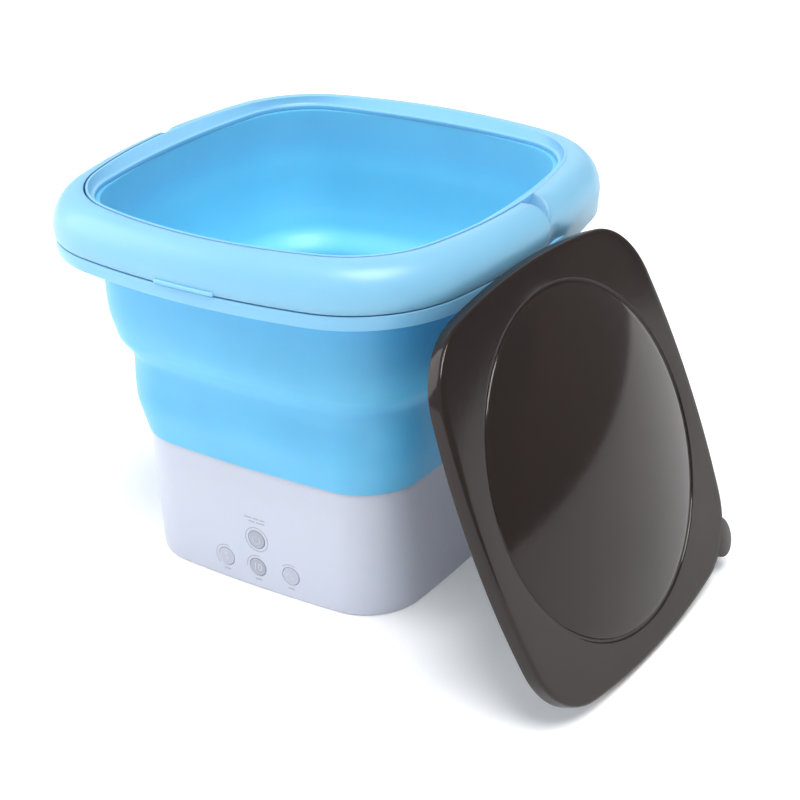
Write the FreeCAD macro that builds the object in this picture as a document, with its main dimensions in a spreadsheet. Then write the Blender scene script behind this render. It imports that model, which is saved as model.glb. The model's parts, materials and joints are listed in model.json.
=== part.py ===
import FreeCAD, Part
import math
import os
import Sketcher

# Portable mini washer with a collapsible tub, in millimetres.
# +Z is up, the key panel faces -Y, and the origin is on the tub axis at floor level.
# Every horizontal section of the shell is the same kind of outline: a square with four
# slightly bowed sides and four round corners, told by its half width at mid-side, the
# radius of a side and the radius of a corner.

Vector = FreeCAD.Vector
Constraint = Sketcher.Constraint
doc = FreeCAD.newDocument("portable_mini_washer")
sheet = doc.addObject("Spreadsheet::Sheet", "sheet")

DRIVING_DIMENSIONS = {
    # white base
    "base_half_low": 95.7,
    "base_half_high": 97.4,
    "base_height": 85.0,
    "base_side_radius": 900.0,
    "base_corner_radius": 37.6,
    "base_wall": 2.4,
    "base_opening_half": 84.0,
    "column_place": 78.0,
    "column_radius": 6.0,
    "cover_level": 2.6,
    "cover_thick": 2.4,
    "cover_gap": 0.3,
    "foot_place": 58.0,
    "foot_radius": 9.0,
    # soft tub sleeve
    "sleeve_wall": 2.2,
    "fold_low_level": 138.0,
    "fold_high_level": 160.0,
    "sleeve_top_level": 235.4,
    "sleeve_top_half": 124.0,
    "sleeve_top_side_radius": 316.2,
    "sleeve_top_corner_radius": 52.7,
    # tub floor and drive
    "floor_half": 95.0,
    "floor_thick": 3.6,
    "hub_radius": 14.0,
    "hub_bottom_level": 60.0,
    "bush_radius": 8.0,
    "bush_length": 6.0,
    "shaft_radius": 4.0,
    "running_gap": 0.05,
    "plate_level": 40.0,
    "plate_thick": 2.5,
    "post_radius": 4.5,
    "gear_level": 46.0,
    "gear_thick": 8.0,
    "gear_module": 1.0,
    "gear_teeth": 60,
    "pinion_teeth": 15,
    "centre_slack": 0.35,
    "motor_radius": 18.0,
    "motor_bottom_level": 10.0,
    "motor_shaft_radius": 1.6,
    "pulsator_radius": 54.0,
    "pulsator_low_level": 92.8,
    "pulsator_high_level": 112.0,
    # rim and handle
    "flange_low_level": 208.6,
    "flange_level": 217.1,
    "flange_half": 143.6,
    "flange_side_radius": 440.0,
    "flange_corner_radius": 73.0,
    "band_level": 221.0,
    "band_half": 144.0,
    "band_top_level": 243.0,
    "band_top_half": 129.4,
    "band_top_side_radius": 290.0,
    "band_top_corner_radius": 62.5,
    "rim_wall": 2.2,
    "lip_level": 243.3,
    "lip_half": 128.0,
    "lip_side_radius": 282.0,
    "lip_corner_radius": 61.4,
    "ledge_level": 238.2,
    "ledge_half": 117.8,
    "ledge_side_radius": 440.0,
    "ledge_corner_radius": 47.3,
    "handle_inner_half": 129.2,
    "handle_lift": 0.6,
    "pivot_depth": -1.0,
    "pivot_level": 230.5,
    "pin_radius": 4.0,
    # leaning lid
    "lid_half": 119.0,
    "lid_side_radius": 440.0,
    "lid_corner_radius": 48.5,
    "lid_skirt": 9.0,
    "lid_thick": 2.2,
    "dome_radius": 100.0,
    "dome_rise": 13.0,
    "tab_reach": 138.5,
    "tab_radius": 12.5,
    "lid_yaw": -1.5,
    "lid_tilt": 21.8,
    "lid_roll": 0.5,
    "lid_centre_x": 196.9,
    "lid_centre_y": -31.7,
    # keys and inlet
    "key_radius": 6.0,
    "key_gap": 0.3,
    "key_collar_radius": 7.3,
    "key_proud": 0.35,
    "key_depth": 6.6,
    "key_travel": 0.6,
    "board_depth": 86.0,
    "board_thick": 1.6,
    "inlet_level": 20.0,
    "inlet_radius": 5.4,
}
for row, (alias, value) in enumerate(DRIVING_DIMENSIONS.items(), start=1):
    sheet.set(f"A{row}", alias)
    sheet.set(f"B{row}", str(value))
    sheet.setAlias(f"B{row}", alias)
doc.recompute()


def size(expression):
    """The value of a sheet expression, in millimetres or degrees."""
    return float(sheet.evalExpression(str(expression)))


def bound(name):
    """A driving dimension as it is written in another object's expression."""
    return "sheet." + name


# ---------------------------------------------------------------- shared modelling steps
def new_body(label):
    body = doc.addObject("PartDesign::Body", label)
    body.Label = label
    return body


def new_sketch(body, name, role, level):
    """A sketch on one of the body's own origin planes, moved along the plane's normal."""
    sketch = body.newObject("Sketcher::SketchObject", name)
    plane = next(f for f in body.Origin.OriginFeatures if f.Role == role)
    sketch.AttachmentSupport = [(plane, "")]
    sketch.MapMode = "FlatFace"
    sketch.setExpression(".AttachmentOffset.Base.z", str(level))
    return sketch


def bind(sketch, constraint, name, expression):
    """Adds a dimension to a sketch and ties it to a sheet expression."""
    index = sketch.addConstraint(constraint)
    sketch.renameConstraint(index, name)
    sketch.setExpression("Constraints." + name, str(expression))


def outline_arcs(half, side, corner):
    """The eight arcs of a bowed square: a side, then a corner, four times round."""
    reach = half - side
    root = math.sqrt(4 * reach**2 - 8 * (reach**2 - (side - corner) ** 2))
    middle = (2 * reach + root) / 4
    half_angle = math.atan2(middle, middle - reach)
    arcs = []
    for quarter in range(4):
        turn = quarter * math.pi / 2
        cos, sin = math.cos(turn), math.sin(turn)
        side_centre = Vector(reach * cos, reach * sin, 0)
        corner_centre = Vector(middle * (cos - sin), middle * (sin + cos), 0)
        side_circle = Part.Circle(side_centre, Vector(0, 0, 1), side)
        corner_circle = Part.Circle(corner_centre, Vector(0, 0, 1), corner)
        arcs.append(Part.ArcOfCircle(side_circle, turn - half_angle, turn + half_angle))
        arcs.append(
            Part.ArcOfCircle(corner_circle, turn + half_angle, turn + math.pi / 2 - half_angle)
        )
    return arcs


def outline_sketch(body, name, level, *outlines):
    """A horizontal sketch of one or more nested bowed squares: (half, side, corner) each."""
    sketch = new_sketch(body, name, "XY_Plane", level)
    for number, (half, side, corner) in enumerate(outlines):
        first = 8 * number
        sketch.addGeometry(outline_arcs(size(half), size(side), size(corner)), False)
        joins = [
            Constraint("Tangent", first + i, 2, first + (i + 1) % 8, 1) for i in range(8)
        ]
        centred = [
            Constraint("PointOnObject", first + 2 * q, 3, -1 if q % 2 == 0 else -2)
            for q in range(4)
        ]
        equal = [
            Constraint("Equal", first + kind, first + 2 * q + kind)
            for kind in (0, 1)
            for q in (1, 2, 3)
        ]
        sketch.addConstraint(joins + centred + equal)
        bind(sketch, Constraint("Radius", first, size(side)), f"side{number}", side)
        bind(sketch, Constraint("Radius", first + 1, size(corner)), f"corner{number}", corner)
        reach = size(side) - size(half)
        for q in range(4):
            kind = "DistanceX" if q % 2 == 0 else "DistanceY"
            arc = first + 2 * q
            pair = (arc, 3, -1, 1) if q < 2 else (-1, 1, arc, 3)
            bind(sketch, Constraint(kind, *pair, reach), f"reach{number}{q}", f"({side}) - ({half})")
    return sketch


def circle_sketch(body, name, role, level, circles):
    """A sketch of circles: (across, up, radius) each, every one bound to an expression."""
    sketch = new_sketch(body, name, role, level)
    for number, (across, up, radius) in enumerate(circles):
        centre = Vector(size(across), size(up), 0)
        sketch.addGeometry(Part.Circle(centre, Vector(0, 0, 1), size(radius)), False)
        bind(sketch, Constraint("Radius", number, size(radius)), f"radius{number}", radius)
        for axis, place in (("X", across), ("Y", up)):
            start, end = ((-1, 1), (number, 3)) if size(place) >= 0 else ((number, 3), (-1, 1))
            if abs(size(place)) < 1e-9:
                line = -2 if axis == "X" else -1
                sketch.addConstraint(Constraint("PointOnObject", number, 3, line))
                continue
            bind(
                sketch,
                Constraint("Distance" + axis, *start, *end, abs(size(place))),
                f"place{axis}{number}",
                f"abs({place})",
            )
    return sketch


def profile_sketch(body, name, role, level, corners):
    """A closed profile. Each corner is (across, up) or (across, up, radius), where radius
    makes the edge that leaves the corner an arc, bulging to the right if it is negative."""
    sketch = new_sketch(body, name, role, level)
    spots = [Vector(size(c[0]), size(c[1]), 0) for c in corners]
    count = len(corners)
    for i, corner in enumerate(corners):
        start, end = spots[i], spots[(i + 1) % count]
        if len(corner) == 2:
            sketch.addGeometry(Part.LineSegment(start, end), False)
            continue
        radius = size(corner[2])
        chord = end - start
        sagitta = abs(radius) - math.sqrt(radius**2 - (chord.Length / 2) ** 2)
        left = Vector(-chord.y, chord.x, 0).normalize()
        middle = (start + end) / 2 + left * math.copysign(sagitta, radius)
        sketch.addGeometry(Part.Arc(start, middle, end), False)

    def end_at(edge, spot):
        """Which end of an edge stands on a corner: an arc's ends follow its own turning sense."""
        return 1 if sketch.getPoint(edge, 1).distanceToPoint(spot) < 1e-6 else 2

    for i, corner in enumerate(corners):
        following = (i + 1) % count
        near = end_at(i, spots[i])
        if len(corner) == 3:
            bind(sketch, Constraint("Radius", i, abs(size(corner[2]))), f"arc{i}", f"abs({corner[2]})")
        entry = end_at(following, spots[following])
        sketch.addConstraint(Constraint("Coincident", i, 3 - near, following, entry))
        for axis, place in (("X", corner[0]), ("Y", corner[1])):
            value = size(place)
            if abs(value) < 1e-9:
                line = -2 if axis == "X" else -1
                sketch.addConstraint(Constraint("PointOnObject", i, near, line))
                continue
            ends = (-1, 1, i, near) if value > 0 else (i, near, -1, 1)
            bind(sketch, Constraint("Distance" + axis, *ends, abs(value)), f"at{axis}{i}", f"abs({place})")
    return sketch


def grow(body, kind, name, sketch, length, reverse=False, both=False):
    """A Pad or Pocket of a sketch by a bound length, with the change of volume checked."""
    doc.recompute()
    before = body.Shape.Volume if body.Tip else 0.0
    feature = body.newObject("PartDesign::" + kind, name)
    feature.Profile = sketch
    feature.setExpression("Length", str(length))
    feature.Reversed = reverse
    feature.Midplane = both
    doc.recompute()
    change = body.Shape.Volume - before
    if (change <= 0) if kind == "Pad" else (change >= 0):
        raise RuntimeError(f"{body.Label}.{name} changed the volume by {change:.3f}")
    return feature


def loft(body, kind, name, sketches):
    """An AdditiveLoft or SubtractiveLoft through level outlines, straight between them."""
    feature = body.newObject("PartDesign::" + kind, name)
    feature.Profile = sketches[0]
    feature.Sections = sketches[1:]
    feature.Ruled = True
    return feature


def level_loft(body, kind, name, levels):
    """A loft whose sections are (level, half, side, corner) each."""
    sketches = [
        outline_sketch(body, f"{name}_{i}", row[0], tuple(row[1:])) for i, row in enumerate(levels)
    ]
    return loft(body, kind, name, sketches)


def revolve(body, name, corners, kind="Revolution"):
    """A profile of (radius, level) corners turned once round the vertical axis."""
    sketch = profile_sketch(body, name + "_profile", "XZ_Plane", 0, corners)
    feature = body.newObject("PartDesign::" + kind, name)
    feature.Profile = sketch
    feature.ReferenceAxis = (sketch, ["V_Axis"])
    feature.Angle = 360.0
    doc.recompute()
    return feature


def polar(body, name, feature, count):
    """Repeats a feature round the vertical axis, and makes the repeat the body's tip."""
    pattern = body.newObject("PartDesign::PolarPattern", name)
    pattern.Originals = [feature]
    z_axis = next(f for f in body.Origin.OriginFeatures if f.Role == "Z_Axis")
    pattern.Axis = (z_axis, [""])
    pattern.Angle = 360
    pattern.Occurrences = count
    body.Tip = pattern
    doc.recompute()
    return pattern


def combine(kind, label, base, tool):
    """A Part::Cut, Part::Fuse or Part::Common of two objects."""
    result = doc.addObject("Part::" + kind, label)
    result.Label = label
    result.Base = base
    result.Tool = tool
    doc.recompute()
    return result


def box(name, low, high):
    """A Part::Box between two corners, both given as expressions."""
    block = doc.addObject("Part::Box", name)
    for side, start, end in zip(("Length", "Width", "Height"), low, high):
        block.setExpression(side, f"({end}) - ({start})")
    for axis, start in zip("xyz", low):
        block.setExpression(".Placement.Base." + axis, str(start))
    return block


def cylinder(name, radius, length, spot, direction=Vector(0, 0, 1)):
    """A Part::Cylinder from a spot along a direction."""
    rod = doc.addObject("Part::Cylinder", name)
    rod.setExpression("Radius", str(radius))
    rod.setExpression("Height", str(length))
    turn = FreeCAD.Rotation(Vector(0, 0, 1), direction)
    rod.Placement = FreeCAD.Placement(Vector(*[size(s) for s in spot]), turn)
    return rod


def copies(label, master, places):
    """One node of equal separate pieces: copies of a master body at (spot, direction)."""
    doc.recompute()
    shapes = []
    for spot, direction in places:
        turn = FreeCAD.Rotation(Vector(0, 0, 1), Vector(*direction))
        piece = master.Shape.copy()
        piece.Placement = FreeCAD.Placement(Vector(*spot), turn)
        shapes.append(piece)
    group = doc.addObject("Part::Feature", label)
    group.Shape = Part.makeCompound(shapes)
    group.Label = label
    return group


def four_corners(place):
    return [(sx * place, sy * place) for sx in (1, -1) for sy in (1, -1)]


def screw(label, shank_radius, shank_length, head_radius, head_height):
    """A pan-head screw that stands on its head: the shank runs up from the level of 0."""
    body = new_body(label)
    slot = head_height / 2
    revolve(
        body,
        "turned",
        [
            (0, -head_height + slot),
            (head_radius * 0.35, -head_height + slot),
            (head_radius * 0.35, -head_height),
            (head_radius * 0.8, -head_height),
            (head_radius, -head_height * 0.6),
            (head_radius, 0),
            (shank_radius, 0),
            (shank_radius, shank_length - shank_radius),
            (shank_radius * 0.4, shank_length),
            (0, shank_length),
        ],
    )
    return body


# ---------------------------------------------------------------- white base housing
BASE_SIDE = bound("base_side_radius")
BASE_CORNER = bound("base_corner_radius")
KEYS = {"power_key": (2.1, 35.1), "five_key": (-22.6, 15.6), "ten_key": (1.5, 15.3), "mode_key": (26.0, 16.1)}
BOARD_POSTS = [(-32.0, 40.0), (34.0, 40.0), (-12.5, 27.0), (14.5, 27.0)]
FLOOR_SCREWS = [(sx * a, sy * b) for a, b in ((89.0, 30.0), (30.0, 89.0)) for sx in (1, -1) for sy in (1, -1)]
INLET_PLACE = 0.0


def base_half(level):
    """Half width of the housing at a level, as an expression."""
    low, high = bound("base_half_low"), bound("base_half_high")
    return f"({low} + ({high} - {low}) * ({level}) / {bound('base_height')})"


def make_base_housing():
    body = new_body("base_housing")
    top = bound("base_height")
    wall = bound("base_wall")
    level_loft(
        body,
        "AdditiveLoft",
        "outside",
        [(0, base_half("0"), BASE_SIDE, BASE_CORNER), (top, base_half(top), BASE_SIDE, BASE_CORNER)],
    )
    inner_side, inner_corner = f"{BASE_SIDE} - {wall}", f"{BASE_CORNER} - {wall}"
    level_loft(
        body,
        "SubtractiveLoft",
        "inside",
        [
            (0, f"{base_half('0')} - {wall}", inner_side, inner_corner),
            (f"{top} - {wall}", f"{base_half(top)} - {wall}", inner_side, inner_corner),
        ],
    )
    opening = outline_sketch(
        body, "opening", top, (bound("base_opening_half"), BASE_SIDE, f"{BASE_CORNER} - 12")
    )
    grow(body, "Pocket", "top_opening", opening, f"2 * {wall}")
    place, radius = bound("column_place"), bound("column_radius")
    spots = [(sx + place, sy + place, radius) for sx in ("", "-") for sy in ("", "-")]
    foot = f"({bound('cover_level')} + {bound('cover_thick')})"
    columns = circle_sketch(body, "columns", "XY_Plane", foot, spots)
    grow(body, "Pad", "screw_columns", columns, f"{top} - {wall} - {foot} + 0.5")
    pilots = circle_sketch(body, "pilots", "XY_Plane", foot, [(a, b, 1.55) for a, b, _ in spots])
    grow(body, "Pocket", "pilot_holes", pilots, 14, reverse=True)
    rim_holes = circle_sketch(body, "rim_holes", "XY_Plane", top, [(x, y, 1.8) for x, y in FLOOR_SCREWS])
    grow(body, "Pocket", "floor_screw_holes", rim_holes, f"2 * {wall}")
    post_circles = [(x, z, 3.0) for x, z in BOARD_POSTS]
    posts = circle_sketch(body, "posts", "XZ_Plane", bound("board_depth"), post_circles)
    grow(body, "Pad", "board_posts", posts, 7.4)
    post_pilots = circle_sketch(
        body, "post_pilots", "XZ_Plane", bound("board_depth"), [(x, z, 1.05) for x, z in BOARD_POSTS]
    )
    grow(body, "Pocket", "board_pilots", post_pilots, 5.5, reverse=True)
    key_hole = f"{bound('key_radius')} + {bound('key_gap')}"
    wells = circle_sketch(body, "wells", "XZ_Plane", 90, [(x, z, key_hole) for x, z in KEYS.values()])
    grow(body, "Pocket", "key_holes", wells, 10, reverse=True)
    inlet_circle = (INLET_PLACE, bound("inlet_level"), f"{bound('inlet_radius')} + 0.1")
    inlet = circle_sketch(body, "inlet", "XZ_Plane", -90, [inlet_circle])
    grow(body, "Pocket", "inlet_hole", inlet, 10)
    return body


def make_bottom_cover():
    body = new_body("bottom_cover")
    level = bound("cover_level")
    half = f"{base_half(level)} - {bound('base_wall')} - {bound('cover_gap')}"
    corner = f"{BASE_CORNER} - {bound('base_wall')} - {bound('cover_gap')}"
    plate = outline_sketch(body, "plate", level, (half, BASE_SIDE, corner))
    grow(body, "Pad", "cover_plate", plate, bound("cover_thick"))
    place = bound("column_place")
    holes = [(sx + place, sy + place, 1.7) for sx in ("", "-") for sy in ("", "-")]
    sketch = circle_sketch(body, "holes", "XY_Plane", level, holes)
    grow(body, "Pocket", "screw_holes", sketch, bound("cover_thick"), reverse=True)
    vents = circle_sketch(body, "vent", "XY_Plane", level, [(0, 24, 2.2)])
    vent = grow(body, "Pocket", "vent_hole", vents, bound("cover_thick"), reverse=True)
    polar(body, "vent_ring", vent, 12)
    return body


def make_feet():
    master = new_body("foot_shape")
    radius, height = bound("foot_radius"), bound("cover_level")
    revolve(master, "pad", [(0, 0), (f"{radius} - 0.6", 0), (radius, 0.6), (radius, height), (0, height)])
    places = [((x, y, 0), (0, 0, 1)) for x, y in four_corners(size("foot_place"))]
    return copies("rubber_feet", master, places)


# ---------------------------------------------------------------- soft tub sleeve
# (level, outside half width, side radius, corner radius) up the outside of the sleeve
LOWER_WALL = [(85.0, 98.4, 930.0, 38.6), (96.0, 101.3, 850.0, 41.0), (108.0, 104.2, 720.0, 43.0),
              (122.0, 105.2, 640.0, 45.0), (138.0, 105.5, 600.0, 46.0)]
FOLD = [(138.0, 105.5, 600.0, 46.0), (144.0, 108.9, 540.0, 47.6), (150.0, 113.5, 460.0, 50.0),
        (156.0, 116.1, 390.0, 51.4), (160.0, 117.6, 360.0, 52.0)]
UPPER_WALL = [(160.0, 117.6, 360.0, 52.0), (168.0, 119.3, 345.0, 52.4), (180.0, 120.1, 335.0, 52.6),
              (206.0, 120.4, 330.0, 52.2), (218.0, 124.0, 316.2, 52.7), (235.4, 124.0, 316.2, 52.7)]


def sleeve_part(label, rows):
    """A stretch of the sleeve: the outside loft less the same loft one wall further in."""
    body = new_body(label)
    wall = bound("sleeve_wall")
    level_loft(body, "AdditiveLoft", "outside", rows)
    inner = [
        (z, f"{half} - {wall}", f"{side} - {wall}", f"{corner} - {wall}")
        for z, half, side, corner in rows
    ]
    level_loft(body, "SubtractiveLoft", "inside", inner)
    doc.recompute()
    return body


def make_lower_tub_wall():
    body = sleeve_part("lower_tub_wall", LOWER_WALL)
    low = bound("base_height")
    side, corner = BASE_SIDE, f"{BASE_CORNER} - 12"
    seat = outline_sketch(
        body, "seat", low, (97.4, 928.0, 37.6), (f"{bound('base_opening_half')} + 0.5", side, corner)
    )
    grow(body, "Pad", "gasket_flange", seat, bound("sleeve_wall"))
    holes = circle_sketch(body, "holes", "XY_Plane", low, [(x, y, 1.8) for x, y in FLOOR_SCREWS])
    grow(body, "Pocket", "flange_holes", holes, bound("sleeve_wall"), reverse=True)
    return body


# ---------------------------------------------------------------- tub floor and drive
FLOOR_LEVEL = f"({bound('base_height')} + {bound('sleeve_wall')})"
POSTS = [(-36.0, 30.0), (-36.0, -30.0), (64.0, 30.0), (64.0, -30.0)]


def make_tub_floor():
    body = new_body("tub_floor")
    edge = (bound("floor_half"), BASE_SIDE, f"{BASE_CORNER} - 2.5")
    plate = outline_sketch(body, "plate", FLOOR_LEVEL, edge)
    grow(body, "Pad", "floor_plate", plate, bound("floor_thick"))
    hub = circle_sketch(body, "hub", "XY_Plane", bound("hub_bottom_level"), [(0, 0, bound("hub_radius"))])
    grow(body, "Pad", "bearing_hub", hub, f"{FLOOR_LEVEL} - {bound('hub_bottom_level')}")
    post_foot = f"{bound('plate_level')} + {bound('plate_thick')}"
    post_circles = [(x, y, bound("post_radius")) for x, y in POSTS]
    posts = circle_sketch(body, "posts", "XY_Plane", post_foot, post_circles)
    grow(body, "Pad", "drive_posts", posts, f"{FLOOR_LEVEL} - ({post_foot})")
    bore = circle_sketch(body, "bore", "XY_Plane", bound("hub_bottom_level"), [(0, 0, bound("bush_radius"))])
    grow(body, "Pocket", "hub_bore", bore, 60, reverse=True)
    pilots = circle_sketch(body, "pilots", "XY_Plane", post_foot, [(x, y, 1.3) for x, y in POSTS])
    grow(body, "Pocket", "post_pilots", pilots, 10, reverse=True)
    anchors = circle_sketch(body, "anchors", "XY_Plane", FLOOR_LEVEL, [(x, y, 1.55) for x, y in FLOOR_SCREWS])
    grow(body, "Pocket", "floor_pilots", anchors, 3, reverse=True)
    return body


def make_bushes():
    master = new_body("bush_shape")
    inner = f"{bound('shaft_radius')} + {bound('running_gap')}"
    outer, length = bound("bush_radius"), bound("bush_length")
    revolve(master, "ring", [(inner, 0), (outer, 0), (outer, length), (inner, length)])
    low = size("hub_bottom_level")
    return copies("shaft_bushes", master, [((0, 0, low), (0, 0, 1)), ((0, 0, low + 17.0), (0, 0, 1))])


def make_shaft_seal():
    body = new_body("shaft_seal")
    inner = f"{bound('shaft_radius')} + {bound('running_gap')}"
    outer = bound("bush_radius")
    chamfer = f"{inner} + 1"
    section = [(inner, 84.6), (chamfer, 83.4), (outer, 83.4), (outer, 89.6), (chamfer, 89.6), (inner, 88.4)]
    revolve(body, "lip", section)
    return body


def make_output_shaft():
    body = new_body("output_shaft")
    radius = bound("shaft_radius")
    # the top is bored for the pulsator's screw
    section = [
        (0, 44.6),
        (f"{radius} - 0.6", 44.6),
        (radius, 45.2),
        (radius, 105.0),
        (2.05, 105.0),
        (2.05, 93.0),
        (0, 93.0),
    ]
    revolve(body, "turned", section)
    return body


def make_circlip():
    body = new_body("shaft_circlip")
    inner = f"{bound('shaft_radius')} + 0.02"
    revolve(body, "ring", [(inner, 58.4), (6.6, 58.4), (6.6, 59.4), (inner, 59.4)])
    gap = profile_sketch(body, "gap", "XY_Plane", 58, [(2, -1.5), (8, -1.5), (8, 1.5), (2, 1.5)])
    grow(body, "Pocket", "open_side", gap, 2, reverse=True)
    return body


def gear_wire(teeth, module):
    """The outline of an involute spur gear: per tooth two flanks, a tip arc and a root arc."""
    pressure = math.radians(20.0)
    pitch = teeth * module / 2
    base = pitch * math.cos(pressure)
    tip, root = pitch + module, pitch - 1.25 * module
    start = max(base, root)
    flank_steps = 4

    def involute_angle(radius):
        roll = math.sqrt(max((radius / base) ** 2 - 1, 0.0))
        return roll - math.atan(roll)

    def spot(radius, angle):
        return Vector(radius * math.cos(angle), radius * math.sin(angle), 0)

    half_tooth = math.pi / (2 * teeth) + involute_angle(pitch)
    half_root = half_tooth - involute_angle(start)
    radii = [start + (tip - start) * i / flank_steps for i in range(flank_steps + 1)]
    edges = []
    for tooth in range(teeth):
        centre = 2 * math.pi * tooth / teeth
        following = centre + 2 * math.pi / teeth
        rising = [spot(r, centre - half_tooth + involute_angle(r)) for r in radii]
        falling = [spot(r, centre + half_tooth - involute_angle(r)) for r in reversed(radii)]
        if start > root:
            edges.append(Part.makeLine(spot(root, centre - half_root), rising[0]))
        flank = Part.BSplineCurve()
        flank.interpolate(rising)
        edges.append(flank.toShape())
        edges.append(Part.Arc(rising[-1], spot(tip, centre), falling[0]).toShape())
        flank = Part.BSplineCurve()
        flank.interpolate(falling)
        edges.append(flank.toShape())
        if start > root:
            edges.append(Part.makeLine(falling[-1], spot(root, centre + half_root)))
        valley = spot(root, (centre + following) / 2)
        valley_start, valley_end = spot(root, centre + half_root), spot(root, following - half_root)
        edges.append(Part.Arc(valley_start, valley, valley_end).toShape())
    return Part.Wire(edges)


def gear_solid(teeth, turn_degrees, bore, centre_x):
    """A spur gear at the gear level, its bore included, turned and moved into mesh."""
    face = Part.Face(gear_wire(int(size(teeth)), size("gear_module")))
    solid = face.extrude(Vector(0, 0, size("gear_thick")))
    solid = solid.cut(Part.makeCylinder(size(bore), size("gear_thick")))
    solid.rotate(Vector(0, 0, 0), Vector(0, 0, 1), turn_degrees)
    solid.translate(Vector(centre_x, 0, size("gear_level")))
    return solid


def centre_distance():
    """Distance from the tub axis to the motor axis."""
    teeth = size("gear_teeth") + size("pinion_teeth")
    return size("gear_module") * teeth / 2 + size("centre_slack")


def make_gears():
    wheel = gear_solid("gear_teeth", 0.0, "shaft_radius + 0.02", 0.0)
    windows = 6
    for number in range(windows):
        angle = 2 * math.pi * number / windows
        hole = Part.makeCylinder(5.5, 40, Vector(18 * math.cos(angle), 18 * math.sin(angle), 30))
        wheel = wheel.cut(hole)
    drive_gear = doc.addObject("Part::Feature", "drive_gear")
    drive_gear.Shape = wheel
    drive_gear.Label = "drive_gear"
    # The wheel has a tooth on the line of centres, so the pinion shows it a gap there.
    half_pitch = 180.0 / size("pinion_teeth")
    pinion = doc.addObject("Part::Feature", "motor_pinion")
    turn = 180.0 + half_pitch
    pinion.Shape = gear_solid("pinion_teeth", turn, "motor_shaft_radius + 0.02", centre_distance())
    pinion.Label = "motor_pinion"
    return drive_gear, pinion


def make_motor():
    body = new_body("motor")
    radius, low = bound("motor_radius"), bound("motor_bottom_level")
    top = bound("plate_level")
    bore = f"{bound('motor_shaft_radius')} + {bound('running_gap')}"
    revolve(
        body,
        "can",
        [
            (0, low),
            (6, low),
            (6, f"{low} + 1.6"),
            (f"{radius} - 1.2", f"{low} + 1.6"),
            (radius, f"{low} + 2.8"),
            (radius, f"{top} - 1"),
            (f"{radius} - 1", top),
            (bore, top),
            (bore, f"{top} - 10"),
            (0, f"{top} - 10"),
        ],
    )
    body.Placement.Base = Vector(centre_distance(), 0, 0)
    return body


def make_motor_shaft():
    body = new_body("motor_shaft")
    radius, top = bound("motor_shaft_radius"), bound("plate_level")
    revolve(body, "turned", [(0, f"{top} - 9.5"), (radius, f"{top} - 9.5"), (radius, 55), (0, 55)])
    body.Placement.Base = Vector(centre_distance(), 0, 0)
    return body


def make_gear_plate():
    body = new_body("gear_plate")
    level, thick = bound("plate_level"), bound("plate_thick")
    plate = profile_sketch(body, "plate", "XY_Plane", level, [(-44, -38), (72, -38), (72, 38), (-44, 38)])
    grow(body, "Pad", "steel_plate", plate, thick)
    centre = centre_distance()
    holes = [(x, y, 1.7) for x, y in POSTS + [(centre, 11.0), (centre, -11.0)]]
    sketch = circle_sketch(body, "holes", "XY_Plane", level, holes + [(centre, 0, 4.0), (0, 0, 5.0)])
    grow(body, "Pocket", "plate_holes", sketch, thick, reverse=True)
    return body


def make_pulsator():
    body = new_body("pulsator")
    low, high = bound("pulsator_low_level"), bound("pulsator_high_level")
    radius = bound("pulsator_radius")
    bore = f"{bound('shaft_radius')} + 0.03"
    revolve(
        body,
        "dished_disc",
        [
            (bore, f"{low} + 1"),
            (9, f"{low} + 1"),
            (11, f"{high} - 6.5"),
            (f"{radius} - 10", f"{low} + 3.4"),
            (f"{radius} - 2.4", f"{low} + 1.6"),
            (f"{radius} - 2.4", low),
            (radius, low),
            (radius, f"{low} + 3"),
            (f"{radius} - 9", f"{low} + 6", f"-{radius}"),
            (12.5, high),
            (9.5, high),
            (9.5, 107.5),
            (2.1, 107.5),
            (2.1, 105.1),
            (bore, 105.1),
        ],
    )
    fin = profile_sketch(
        body, "fin", "XY_Plane", f"{low} + 4", [(12, -3.4, -70), (46, -2.2), (46, 2.2, 70), (12, 3.4)]
    )
    paddle = grow(body, "Pad", "paddle", fin, f"{high} - {low} - 5.5")
    polar(body, "paddles", paddle, 6)
    hole_spot = f"({radius} - 16)"
    hole = (f"{hole_spot} * 0.866", f"{hole_spot} * 0.5", 1.6)
    drain = circle_sketch(body, "drain", "XY_Plane", low, [hole])
    pierce = grow(body, "Pocket", "drain_hole", drain, 20, reverse=True)
    polar(body, "drain_ring", pierce, 6)
    return body


def make_pulsator_cap():
    body = new_body("pulsator_cap")
    radius, crown = 9.2, 1.0
    bend = (radius**2 + crown**2) / (2 * crown)
    revolve(body, "button", [(0, 110.3), (radius, 110.3), (radius, 112.0, -bend), (0, 112.0 + crown)])
    return body


# ---------------------------------------------------------------- rim and swinging handle
def band_rows(inward, low_level):
    """Outlines up the outside of the rounded band: a quarter ellipse from the flange to the lip.
    inward moves the surface in by a wall, and low_level is where it starts."""
    rows = [(low_level, f"{bound('flange_half')} - {inward}", f"{bound('flange_side_radius')} - {inward}",
             f"{bound('flange_corner_radius')} - {inward}")]
    width = f"({bound('band_half')} - {bound('band_top_half')} - {inward} * 0.5)"
    height = f"({bound('band_top_level')} - {bound('band_level')} - {inward})"
    for angle in (0, 20, 38, 55, 70, 82, 90):
        cos, sin = math.cos(math.radians(angle)), math.sin(math.radians(angle))
        half = f"({bound('band_top_half')} - {inward} * 0.5 + {width} * {cos:.4f})"
        level = f"{bound('band_level')} + {height} * {sin:.4f}"
        side = (
            f"{bound('band_top_side_radius')} + "
            f"({bound('flange_side_radius')} - {bound('band_top_side_radius')}) * {cos:.4f}"
        )
        corner = (
            f"{bound('band_top_corner_radius')} - {inward} + "
            f"({bound('flange_corner_radius')} - {bound('band_top_corner_radius')}) * {cos:.4f}"
        )
        rows.append((level, half, side, corner))
    return rows


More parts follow.
